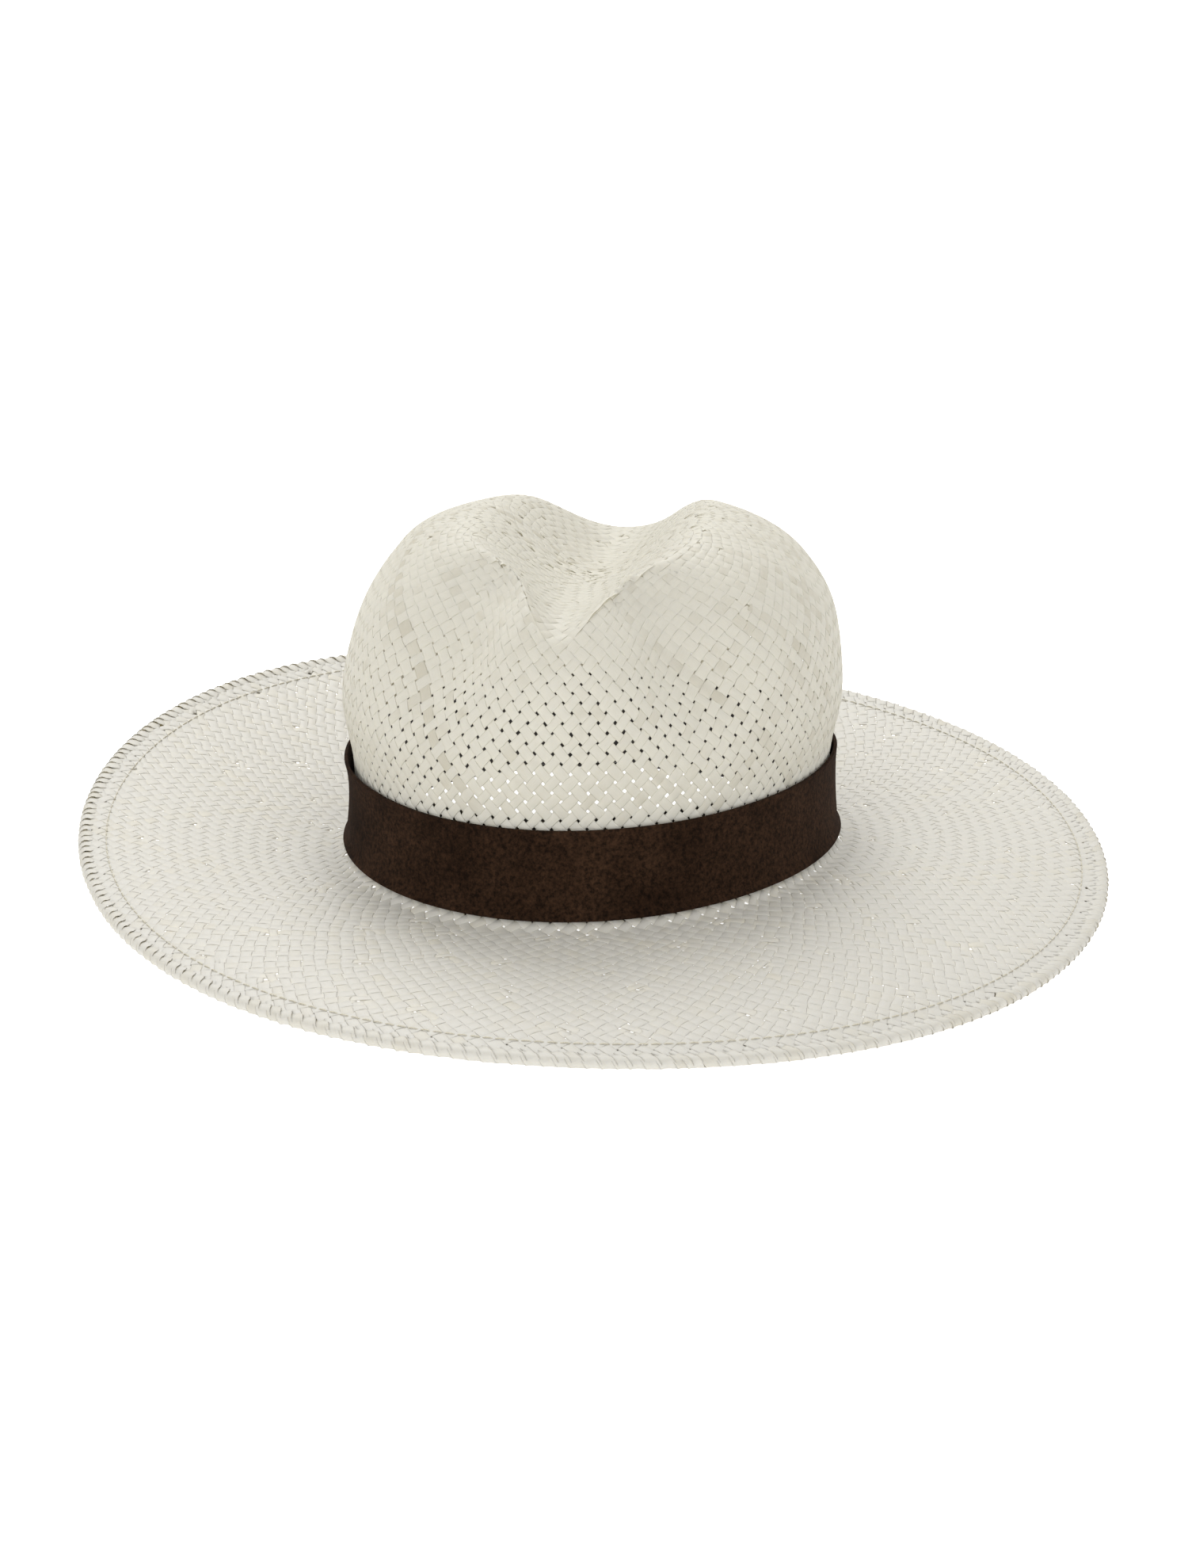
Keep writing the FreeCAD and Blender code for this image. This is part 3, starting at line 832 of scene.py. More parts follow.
def finish_piece(piece: bpy.types.Object, slot: str, *nodes: str) -> None:
    """Parents a piece to the hat's root and hides the CAD nodes that it stands for.

    Args:
        piece: The piece.
        slot: Not used.
        nodes: Names of the CAD nodes; none where another piece stands for them.
    """
    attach(piece, "root")
    if nodes:
        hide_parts(*nodes)
    LOG.info("%s: %d faces", piece.name, len(piece.data.polygons))


def select_only(piece: bpy.types.Object) -> None:
    """Makes one object the selected and active one.

    Args:
        piece: The object.
    """
    bpy.ops.object.select_all(action="DESELECT")
    piece.select_set(True)
    bpy.context.view_layer.objects.active = piece


def apply_modifier(piece: bpy.types.Object, kind: str, **values: object) -> None:
    """Adds a modifier and applies it at once.

    Args:
        piece: The object.
        kind: Modifier type.
        **values: Its settings.
    """
    select_only(piece)
    modifier = piece.modifiers.new(kind.lower(), kind)
    for name, value in values.items():
        setattr(modifier, name, value)
    bpy.ops.object.modifier_apply(modifier=modifier.name)


@dataclass
class Strip:
    """Flat strand of straw, as a chain of rounded sections."""

    section: tuple = ((-0.5, 0.0), (-0.42, 0.5), (0.42, 0.5), (0.5, 0.0), (0.42, -0.5),
                      (-0.42, -0.5))

    def sweep(self, points: np.ndarray, normals: np.ndarray, widths: np.ndarray,
              thickness: np.ndarray, lengths: list[int]) -> tuple:
        """Sweeps the section along many strands at once.

        Args:
            points: Points of all strands, one after another.
            normals: Upward direction at each point.
            widths: Strand width at each point.
            thickness: Strand thickness at each point.
            lengths: Number of points in each strand.

        Returns:
            Vertices, faces and map places.
        """
        ends = np.cumsum(lengths)
        starts = ends - np.array(lengths)
        ahead = np.arange(len(points)) + 1
        behind = np.arange(len(points)) - 1
        ahead[ends - 1] = ends - 1
        behind[starts] = starts
        along = points[ahead] - points[behind]
        along /= np.linalg.norm(along, axis=1, keepdims=True)
        side = np.cross(normals, along)
        side /= np.linalg.norm(side, axis=1, keepdims=True)
        up = np.cross(along, side)
        corners = np.array(self.section)
        vertices = (points[:, None] + side[:, None] * (corners[:, 0] * widths[:, None])[..., None]
                    + up[:, None] * (corners[:, 1] * thickness[:, None])[..., None])
        steps = np.linalg.norm(points - points[behind], axis=1)
        travelled = np.cumsum(steps)
        count = len(corners)
        uv = np.stack([np.repeat(travelled, count),
                       np.tile(corners[:, 0], len(points))], -1)
        first = np.setdiff1d(np.arange(len(points)), ends - 1)
        ring = np.arange(count)
        after = (ring + 1) % count
        quads = np.stack([first[:, None] * count + ring, first[:, None] * count + after,
                          (first[:, None] + 1) * count + after,
                          (first[:, None] + 1) * count + ring], -1).reshape(-1, 4)
        caps_in = starts[:, None] * count + ring[::-1]
        caps_out = (ends - 1)[:, None] * count + ring
        faces = quads[:, ::-1].tolist() + caps_in[:, ::-1].tolist() + caps_out[:, ::-1].tolist()
        return vertices.reshape(-1, 3), faces, uv


def straw_piece(name: str, strip: Strip, strands: tuple, lengths: list[int],
                tones: np.ndarray, material: bpy.types.Material) -> None:
    """Sweeps strands of straw and ties them to the hat.

    Args:
        name: The piece's name.
        strip: Section of the strands.
        strands: Points, upward directions, widths and thickness, as for the sweep.
        lengths: Number of points in each strand.
        tones: Tone at each point.
        material: The straw.
    """
    vertices, faces, uv = strip.sweep(*strands, lengths)
    piece = mesh_object(name, vertices, faces, material, "strand", uv,
                        np.repeat(tones, len(strip.section)))
    finish_piece(piece, "straw", "straw_body")


# ---------------------------------------------------------------- the woven straw


@dataclass
class Lattice:
    """Crossings of the weave: rings of nodes, each joined to two nodes of the next ring."""

    angle: np.ndarray
    run: np.ndarray
    ring: np.ndarray
    east: np.ndarray
    next_left: np.ndarray
    next_right: np.ndarray
    is_new: np.ndarray


@dataclass
class Weave:
    """Straw of crown and brim, plain woven strand by strand."""

    form: HatForm
    # The crown's straw is painted paler, as painted light; the brim's straw is the same straw
    # painted darker, as painted shade.
    finish: StrawFinish
    brim_finish: StrawFinish
    seed: int = 7
    centre_run: float = 1.6
    first_ring: int = 6
    brim_step: float = 2.95
    top_spacing: float = 4.4
    wall_spacing: float = 6.1
    brim_spacing_front: float = 6.0
    brim_spacing_side: float = 4.9
    thickness: float = 0.26
    lift: float = 0.15
    depth: float = 0.50
    samples: int = 3
    end_inset: float = 1.9
    settling: int = 24
    split_height: float = 16.0
    base_gap: float = 0.03
    hole_gap: float = 0.95
    holes_start: tuple = (14.0, 24.0)
    holes_end: tuple = (54.0, 96.0)
    foot_gap: float = 0.45
    brim_gap: float = 0.08
    brim_back_gap: float = 0.13
    top_overlap: float = 0.26
    top_start: tuple = (70.0, 100.0)

    def _spacing(self, angle: np.ndarray, run: float) -> np.ndarray:
        """Wanted distance between neighbouring crossings of one ring.

        Args:
            angle: Angles round the hat.
            run: The ring's distance from the top along the straw.

        Returns:
            Distance at each angle.
        """
        crown = self.form.crown_run
        top = smooth_step(crown - 140.0, crown - 48.0, np.full_like(angle, run))
        wall = self.top_spacing + (self.wall_spacing - self.top_spacing) * top
        front = (0.5 - 0.5 * np.sin(angle)) ** 1.5
        brim = self.brim_spacing_side + (self.brim_spacing_front - self.brim_spacing_side) * front
        out = smooth_step(crown - 10.0, crown + 45.0, np.full_like(angle, run))
        return wall + (brim - wall) * out

    def _step(self, run: float) -> float:
        """Distance from one ring to the next.

        Args:
            run: The ring's distance from the top along the straw.

        Returns:
            The step outwards.
        """
        crown = self.form.crown_run
        top = float(smooth_step(crown - 140.0, crown - 48.0, np.array(run)))
        out = float(smooth_step(crown - 10.0, crown + 30.0, np.array(run)))
        wall = 0.5 * (self.top_spacing + (self.wall_spacing - self.top_spacing) * top)
        return wall + (self.brim_step - wall) * out

    def _relaxed(self, angle: np.ndarray, run: float, rounds: int) -> np.ndarray:
        """Evens out the crossings of one ring, each pulled by its two neighbours."""
        for _ in range(rounds):
            before = np.roll(angle, 1)
            before[0] -= 2.0 * np.pi
            after = np.roll(angle, -1)
            after[-1] += 2.0 * np.pi
            here = self.form.face(angle, np.full_like(angle, run), False)
            back = np.linalg.norm(here - np.roll(here, 1, 0), axis=1)
            back = back / self._spacing(angle, run)
            ahead = np.roll(back, -1)
            pull = 0.5 * (ahead - back) / np.maximum(ahead + back, 1e-6)
            angle = angle + 0.5 * pull * (after - before)
        return angle

    def lattice(self) -> Lattice:
        """Lays out all crossings from the crown's centre to the hem.

        Returns:
            The crossings and how the strands join them.
        """
        rng = np.random.default_rng(self.seed)
        last_run = self.form.crown_run + self.form.brim_run - self.end_inset
        run = self.centre_run
        angle = np.linspace(0.0, 2.0 * np.pi, self.first_ring, endpoint=False)
        angles, runs, lefts, rights, news = [], [], [], [], []
        fresh = np.ones(len(angle), bool)
        offset = 0
        while True:
            angles.append(angle)
            runs.append(np.full_like(angle, run))
            news.append(fresh)
            count = len(angle)
            step = self._step(run)
            if run + step > last_run:
                lefts.append(np.full(count, -1))
                rights.append(np.full(count, -1))
                break
            run += step
            following = np.roll(angle, -1)
            following[-1] += 2.0 * np.pi
            gaps = 0.5 * (angle + following)
            dense = np.linspace(0.0, 2.0 * np.pi, 241)
            line = self.form.face(dense, np.full_like(dense, run), False)
            lengths = np.linalg.norm(np.diff(line, axis=0), axis=1)
            wanted = int(round(float(np.sum(lengths / self._spacing(dense[:-1], run)))))
            extra = int(np.clip(wanted - count, 0, count // 2))
            here = self.form.face(gaps, np.full_like(gaps, run), False)
            stretch = np.linalg.norm(here - np.roll(here, 1, 0), axis=1)
            stretch = stretch / self._spacing(gaps, run)
            score = stretch + 0.25 * rng.random(count)
            taken: list[int] = []
            for candidate in np.argsort(-score):
                if len(taken) >= extra:
                    break
                far = all(min((candidate - t) % count, (t - candidate) % count) > 1 for t in taken)
                if far:
                    taken.append(int(candidate))
            merged = np.concatenate([gaps, angle[taken]])
            fresh = np.concatenate([np.zeros(count, bool), np.ones(len(taken), bool)])
            order = np.argsort(merged)
            place = np.empty(len(order), int)
            place[order] = np.arange(len(order))
            base = offset + count
            rights.append(base + place[:count])
            lefts.append(base + np.roll(place[:count], 1))
            offset = base
            angle = self._relaxed(merged[order], run, 8)
            fresh = fresh[order]
        east = []
        start = 0
        for ring_angles in angles:
            count = len(ring_angles)
            east.append(start + (np.arange(count) + 1) % count)
            start += count
        ring = np.concatenate([np.full(len(a), k) for k, a in enumerate(angles)])
        return Lattice(np.concatenate(angles), np.concatenate(runs), ring,
                       np.concatenate(east), np.concatenate(lefts), np.concatenate(rights),
                       np.concatenate(news))

    def _settled(self, lattice: Lattice) -> tuple[np.ndarray, np.ndarray]:
        """Lets the crossings of the crown slide until they lie evenly on the dented form.

        Args:
            lattice: The crossings as laid out on the plain dome.

        Returns:
            Angle and run of each crossing.
        """
        angle, run = lattice.angle.copy(), lattice.run.copy()
        count = len(angle)
        west = np.empty(count, int)
        west[lattice.east] = np.arange(count)
        inner = np.full((2, count), -1)
        for row, follow in enumerate((lattice.next_left, lattice.next_right)):
            joined = np.nonzero(follow >= 0)[0]
            inner[row, follow[joined]] = joined
        neighbours = np.stack([lattice.next_left, lattice.next_right, inner[0], inner[1]])
        complete = (neighbours >= 0).all(0)
        beside = np.stack([lattice.east, west, lattice.east, west])
        neighbours = np.where(complete, neighbours, beside)
        free = (lattice.ring > 0) * (1.0 - smooth_step(
            self.form.crown_run - 30.0, self.form.crown_run - 8.0, lattice.run))
        for _ in range(self.settling):
            here = self.form.face(angle, run)
            pull = here[neighbours].mean(0) - here
            turn = 0.4 / np.clip(run, 2.0, 100.0)
            round_way = (self.form.face(angle + turn, run)
                         - self.form.face(angle - turn, run)) / (2.0 * turn)[:, None]
            out_way = (self.form.face(angle, run + 0.4)
                       - self.form.face(angle, np.maximum(run - 0.4, 0.1))) / 0.8
            aa, bb = (round_way ** 2).sum(1), (out_way ** 2).sum(1)
            ab = (round_way * out_way).sum(1)
            pa, pb = (round_way * pull).sum(1), (out_way * pull).sum(1)
            whole = np.maximum(aa * bb - ab * ab, 1e-6)
            step_a, step_r = (bb * pa - ab * pb) / whole, (aa * pb - ab * pa) / whole
            limit = 0.5 / np.clip(run, 2.0, 100.0)
            angle = angle + 0.6 * free * np.clip(step_a, -limit, limit)
            run = run + 0.6 * free * complete * np.clip(step_r, -0.5, 0.5)
        return angle, run

    def _gap(self, angle: np.ndarray, run: np.ndarray) -> np.ndarray:
        """Open space between neighbouring strands.

        Args:
            angle: Angles round the hat.
            run: Distances from the top along the straw.

        Returns:
            Width of the gap at each place.
        """
        above = self.form.crown_run - run
        started = smooth_step(*self.holes_start, above)
        facing = np.abs(np.sin(angle)) ** 1.2
        holes = self.hole_gap * started * (1.0 - smooth_step(*self.holes_end, above))
        holes = holes * (0.45 + 0.55 * facing)
        foot = self.foot_gap * (1.0 - started) * smooth_step(-16.0, -4.0, above)
        back = (0.5 + 0.5 * np.sin(angle)) ** 2
        brim = smooth_step(4.0, 18.0, np.maximum(0.0, -above))
        brim = brim * (self.brim_gap + self.brim_back_gap * back)
        close = self.top_overlap * smooth_step(*self.top_start, above)
        return self.base_gap - close + holes + foot + brim

    def _paths(self, lattice: Lattice, family: Family) -> list[np.ndarray]:
        """Follows every strand of one family outwards.

        Args:
            lattice: Crossings of the weave.
            family: Which way the strands lean.

        Returns:
            Crossing numbers of each strand, from the inside out.
        """
        follow = lattice.next_right if family is Family.LEANING_RIGHT else lattice.next_left
        paths = []
        for start in np.nonzero(lattice.is_new)[0]:
            chain = [start]
            while follow[chain[-1]] >= 0:
                chain.append(follow[chain[-1]])
            paths.append(np.array(chain))
        return paths

    def build(self) -> None:
        """Weaves the strands."""
        lattice = self.lattice()
        rng = np.random.default_rng(self.seed + 1)
        materials = {Region.CROWN: self.finish.build(), Region.BRIM: self.brim_finish.build()}
        jitter = rng.normal(0.0, 0.12, (2, len(lattice.angle)))
        radius = np.clip(lattice.run, 4.0, 100.0)
        angle, run = self._settled(lattice)
        angle = angle + jitter[0] / radius
        run = run + jitter[1]
        places = self.form.face(angle, run)
        across = places[lattice.east] - places
        split_ring = int(lattice.ring[np.argmin(np.abs(
            lattice.run - (self.form.crown_run - self.split_height)))])
        for family in Family:
            follow = (lattice.next_right if family is Family.LEANING_RIGHT
                      else lattice.next_left)
            has_next = follow >= 0
            step = np.zeros_like(places)
            step[has_next] = places[follow[has_next]] - places[has_next]
            pitch = np.linalg.norm(np.cross(across, step), axis=1)
            pitch = pitch / np.maximum(np.linalg.norm(step, axis=1), 1e-6)
            over = (lattice.ring % 2) == 0
            if family is Family.LEANING_LEFT:
                over = ~over
            groups: dict[tuple, list] = {}
            for number, path in enumerate(self._paths(lattice, family)):
                rings = lattice.ring[path]
                for region, keep in ((Region.CROWN, rings <= split_ring),
                                     (Region.BRIM, rings >= split_ring)):
                    part = path[keep]
                    if len(part) > 1:
                        half = int(region is Region.BRIM and number % 2 == 1)
                        groups.setdefault((region, half), []).append(part)
            for (region, half), paths in sorted(groups.items(), key=lambda g: str(g[0])):
                self._strands(f"straw_{region.value}_{family.value}_{half + 1}", paths,
                              (angle, run, pitch, over), materials[region], rng)

    def _strands(self, name: str, paths: list[np.ndarray], data: tuple,
                 material: bpy.types.Material, rng: np.random.Generator) -> None:
        """Builds one group of strands as a mesh.

        Args:
            name: The piece's name.
            paths: Crossings that each strand passes.
            data: Angle, run, pitch and side of each crossing.
            material: The straw.
            rng: Source of the small differences between strands.
        """
        angle, run, pitch, over = data
        all_angle, all_run, all_lift, all_width, tones, lengths = [], [], [], [], [], []
        for path in paths:
            a = np.unwrap(angle[path])
            count = len(path)
            at = np.arange((count - 1) * self.samples + 1) / self.samples
            i = np.minimum(at.astype(int), count - 2)
            side = np.where(over[path], 1.0, -1.0)
            ease = 0.5 - 0.5 * np.cos(np.pi * (at - i))
            height = side[i] * (1 - ease) + side[i + 1] * ease
            own = np.clip(rng.normal(1.0, 0.03), 0.92, 1.08)
            wide = pitch[path].copy()
            if wide[-1] == 0.0:
                wide[-1] = wide[-2]
            wide = wide * own * rng.normal(1.0, 0.03, count)
            spread = np.where(run[path] > self.form.crown_run, 0.75, 0.20)
            gap = self._gap(a, run[path]) * np.clip(
                1.0 + spread * rng.normal(0.0, 1.0, count), 0.2, 3.6)
            width = np.maximum(1.0, wide - gap)
            all_angle.append(catmull_rom(a, at))
            all_run.append(catmull_rom(run[path], at))
            all_lift.append(height * self.lift - self.depth)
            all_width.append(np.interp(at, np.arange(count), width))
            tone = np.clip(rng.normal(0.55, 0.20), 0.0, 1.0)
            tones.append(np.full(len(at), tone) + 0.12 * np.interp(
                at, np.arange(count), rng.normal(0.0, 1.0, count)))
            lengths.append(len(at))
        a, r = np.concatenate(all_angle), np.concatenate(all_run)
        normals = self.form.normal(a, r)
        points = self.form.face(a, r) + normals * np.concatenate(all_lift)[:, None]
        widths = np.concatenate(all_width)
        thickness = np.full(len(points), self.thickness)
        straw_piece(name, Strip(), (points, normals, widths, thickness), lengths,
                    np.clip(np.concatenate(tones), 0.0, 1.0), material)


@dataclass
class RolledEdge:
    """Slanting strands turned over the brim edge, their tucked ends side by side."""

    form: HatForm
    finish: StrawFinish
    seed: int = 23
    pitch: float = 4.6
    reach_top: float = 4.5
    reach_under: float = 7.6
    slant: float = 6.0
    thickness: float = 0.36
    overlap: float = 1.10
    sink: float = 0.22
    tuck: float = 0.34
    steps: int = 18
    round_section: tuple = ((-0.5, 0.0), (-0.40, 0.34), (-0.15, 0.5), (0.15, 0.5), (0.40, 0.34),
                            (0.5, 0.0), (0.36, -0.36), (-0.36, -0.36))

    def build(self) -> None:
        """Makes the strands that wrap the edge."""
        dense = np.linspace(0.0, 2.0 * np.pi, 721)
        run = travelled(self.form.inset(dense, np.full_like(dense, 1.0), np.zeros_like(dense)))
        rng = np.random.default_rng(self.seed)
        count = int(round(run[-1] / self.pitch))
        curl = self.form.fold * (math.pi / 2.0 - 1.0)
        share = np.linspace(0.0, 1.0, self.steps)
        leaning = np.interp(share, [0.0, 0.4, 1.0], [0.0, 0.62, 1.0]) - 0.3
        shoulder = smooth_step(0.0, 0.13, share)
        rows = []
        for k in range(count):
            start = -(self.reach_top + curl + rng.normal(0.0, 0.22))
            travel = start + share * (self.reach_under + curl - start)
            along = (k + rng.normal(0.0, 0.05)) * run[-1] / count + self.slant * leaning
            angle = np.interp(along % run[-1], run, dense)
            outer, away = self.form.around_edge(angle, travel, 0.0)
            sink = self.sink + self.tuck * (1.0 - shoulder) + 0.30 * np.exp(-(1.0 - share) / 0.05)
            sink = sink + rng.normal(0.0, 0.05)
            width = run[-1] / count * rng.normal(self.overlap, 0.03) * (0.86 + 0.14 * shoulder)
            tone = np.full(len(share), np.clip(rng.normal(0.5, 0.2), 0.0, 1.0))
            rows.append((outer - away * sink[:, None], away, width,
                         np.full(len(share), self.thickness), tone))
        points, normals, widths, thick, tones = (np.concatenate(part) for part in zip(*rows))
        straw_piece("straw_rolled_edge", Strip(self.round_section),
                    (points, normals, widths, thick), [len(share)] * count, tones,
                    self.finish.build())


# ---------------------------------------------------------------- bands


@dataclass
class Band:
    """Strip of material that follows the crown wall, all round or for a stretch."""

    name: str
    low: float
    high: float
    out: Callable[[np.ndarray, np.ndarray], np.ndarray]
    thickness: float
    form: HatForm
    upright_below: float = 0.0
    start: float = 0.0
    end: float = 2.0 * math.pi
    columns: int = 256
    rows: int = 10
    round_edge: float = 0.3

    @property
    def closed(self) -> bool:
        """Whether the strip goes all the way round."""
        return self.end - self.start > 6.28

    def build(self, material: bpy.types.Material) -> bpy.types.Object:
        """Shapes the strip from a plain ring or sheet.

        Args:
            material: Its finish.

        Returns:
            The strip.
        """
        bpy.ops.object.select_all(action="DESELECT")
        if self.closed:
            bpy.ops.mesh.primitive_cylinder_add(vertices=self.columns, radius=1.0, depth=1.0,
                                                end_fill_type="NOTHING")
            strip = bpy.context.active_object
            bpy.ops.object.mode_set(mode="EDIT")
            for row in range(1, self.rows):
                bpy.ops.mesh.select_all(action="SELECT")
                bpy.ops.mesh.bisect(plane_co=(0.0, 0.0, row / self.rows - 0.5),
                                    plane_no=(0.0, 0.0, 1.0))
            bpy.ops.object.mode_set(mode="OBJECT")
        else:
            bpy.ops.mesh.primitive_grid_add(x_subdivisions=self.columns,
                                            y_subdivisions=self.rows, size=1.0)
            strip = bpy.context.active_object
        name_and_dress(strip, self.name, material)
        places = places_of(strip)
        if self.closed:
            angle = np.arctan2(places[:, 1], places[:, 0])
            share = places[:, 2] + 0.5
        else:
            angle = self.start + (self.end - self.start) * (places[:, 0] + 0.5)
            share = places[:, 1] + 0.5
        height = self.low + (self.high - self.low) * share
        on_wall = self.form.wall(angle, height, self.out(angle, share), self.upright_below)
        strip.data.vertices.foreach_set("co", (on_wall * MM).ravel())
        self._map(strip, angle, height)
        apply_modifier(strip, "SOLIDIFY", thickness=self.thickness * MM, offset=1.0)
        if self.round_edge > 0.0:
            apply_modifier(strip, "BEVEL", width=self.round_edge * MM, segments=3,
                           limit_method="ANGLE", angle_limit=math.radians(50.0))
        select_only(strip)
        bpy.ops.object.shade_smooth_by_angle(angle=math.radians(60.0))
        return strip

    def _map(self, strip: bpy.types.Object, angle: np.ndarray, height: np.ndarray) -> None:
        """Gives the strip its own map, in metres along and up.

        Args:
            strip: The band or sweatband.
            angle: Angle of each point.
            height: Height of each point on the strip.
        """
        while strip.data.uv_layers:
            strip.data.uv_layers.remove(strip.data.uv_layers[0])
        layer = strip.data.uv_layers.new(name="cloth")
        corner = corner_points(strip.data)
        around = angle[corner]
        size = 4
        faces = around[:len(around) // size * size].reshape(-1, size)
        wraps = (faces.max(1) - faces.min(1)) > math.pi
        faces[wraps] = np.where(faces[wraps] < 0.0, faces[wraps] + 2.0 * math.pi, faces[wraps])
        radius = 0.5 * (self.form.half_width + self.form.half_length)
        uv = np.stack([faces.ravel() * radius * MM, height[corner] * MM], -1)
        layer.data.foreach_set("uv", uv.astype(np.float32).ravel())


def ring_cord(name: str, place: Place, radius: float, material: bpy.types.Material,
              turns: int = 320, sides: int = 10) -> bpy.types.Object:
    """Round cord that runs all the way round, shaped from a torus.

    Args:
        name: The piece's name.
        place: Place of the cord's section, given angle, and up and out offsets.
        radius: Half its thickness in millimetres.
        material: Its finish.
        turns: Sections round the hat.
        sides: Sides of the section.

    Returns:
        The cord.
    """
    bpy.ops.object.select_all(action="DESELECT")
    bpy.ops.mesh.primitive_torus_add(major_segments=turns, minor_segments=sides,
                                     major_radius=10.0, minor_radius=1.0)
    cord = bpy.context.active_object
    name_and_dress(cord, name, material)
    places = places_of(cord)
    angle = np.arctan2(places[:, 1], places[:, 0])
    out = np.hypot(places[:, 0], places[:, 1]) - 10.0
    moved = place(angle, np.stack([out * radius, places[:, 2] * radius], -1))
    cord.data.vertices.foreach_set("co", (moved * MM).ravel())
    cord.data.uv_layers[0].name = "thread"
    for loop_uv in cord.data.uv_layers[0].data:
        loop_uv.uv = (loop_uv.uv[0] * turns, loop_uv.uv[1] * 4.0)
    select_only(cord)
    bpy.ops.object.shade_smooth()
    return cord


@dataclass
class StitchLine:
    """Row of single stitches along a line."""

    length: float = 3.0
    pitch: float = 4.2
    thickness: float = 0.42
    rings: int = 7
    sides: int = 6

    def build(self, name: str, at: np.ndarray, up: np.ndarray,
              material: bpy.types.Material) -> bpy.types.Object:
        """Sews along a closed or open line.

        Args:
            name: The piece's name.
            at: Points along the line, in millimetres.
            up: Direction away from the fabric at each point.
            material: The thread.

        Returns:
            The stitches.
        """
        run = travelled(at)
        count = max(1, int(run[-1] / self.pitch))
        points, normals = [], []
        for k in range(count):
            middle = (k + 0.5) * run[-1] / count
            share = np.linspace(-0.5, 0.5, self.rings)
            along = middle + share * self.length
            place = np.stack([np.interp(along, run, at[:, c]) for c in range(3)], -1)
            away = np.stack([np.interp(along, run, up[:, c]) for c in range(3)], -1)
            sink = self.thickness * (1.1 * (2.0 * np.abs(share)) ** 3 - 0.35)
            points.append(place - away * sink[:, None])
            normals.append(away)
        turn = np.linspace(0.0, 2.0 * math.pi, self.sides, endpoint=False)
        section = tuple((-0.5 * math.cos(t), 0.5 * math.sin(t)) for t in turn)
        size = np.full(count * self.rings, self.thickness)
        vertices, faces, uv = Strip(section).sweep(
            np.concatenate(points), np.concatenate(normals), size, size,
            [self.rings] * count)
        return mesh_object(name, vertices, faces, material, "thread", uv)


@dataclass
class HatBand:
    """Suede band with its lapped end."""

    form: HatForm
    finish: SuedeFinish = SuedeFinish("suede_dark_brown")
    thread: ThreadFinish = ThreadFinish("thread_dark_brown", (0.035, 0.020, 0.014))
    width: float = 30.5
    foot: float = 2.4
    thickness: float = 1.3
    clearance: float = 0.3
    lap_middle: float = math.radians(62.0)
    lap_half: float = math.radians(7.8)

    def _stand_off(self, angle: np.ndarray, share: np.ndarray) -> np.ndarray:
        """How far the suede stands off the straw; its upper edge gapes a little at the right.

        Args:
            angle: Angles round the hat.
            share: Share of the band's height, 0 at its foot.

        Returns:
            Distance from the straw.
        """
        wave = 0.12 * np.sin(5.0 * angle + 0.7) + 0.08 * np.sin(11.0 * angle)
        gape = 1.5 * np.exp(-0.5 * ((np.cos(angle) + 1.0) / 0.12) ** 2) * share ** 5
        return self.clearance + 0.15 + wave * share + gape

    def build(self) -> None:
        """Makes band, lap and the lap's stitches."""
        suede = self.finish.build()
        band = Band("hat_band_suede", self.foot, self.foot + self.width, self._stand_off,
                    self.thickness, self.form)
        finish_piece(band.build(suede), "suede", "hat_band")
        lap = Band("hat_band_lap_suede", self.foot + 0.4, self.foot + self.width - 0.4,
                   lambda a, s: self._stand_off(a, s) + self.thickness + 0.05,
                   self.thickness, self.form, start=self.lap_middle - self.lap_half,
                   end=self.lap_middle + self.lap_half, columns=24, rows=14)
        finish_piece(lap.build(suede), "suede", "hat_band_lap")
        heights = np.linspace(self.foot + 3.5, self.foot + self.width - 3.5, 40)
        angle = np.full_like(heights, self.lap_middle + self.lap_half * 0.76)
        out = np.full_like(heights, self.clearance + 2.0 * self.thickness + 0.30)
        line = self.form.wall(angle, heights, out)
        up = line - self.form.wall(angle, heights, out - 1.0)
        stitches = StitchLine(length=2.6, pitch=3.6, thickness=0.4)
        piece = stitches.build("hat_band_lap_stitches", line, up, self.thread.build())
        finish_piece(piece, "dark_thread", "hat_band_lap_stitching")


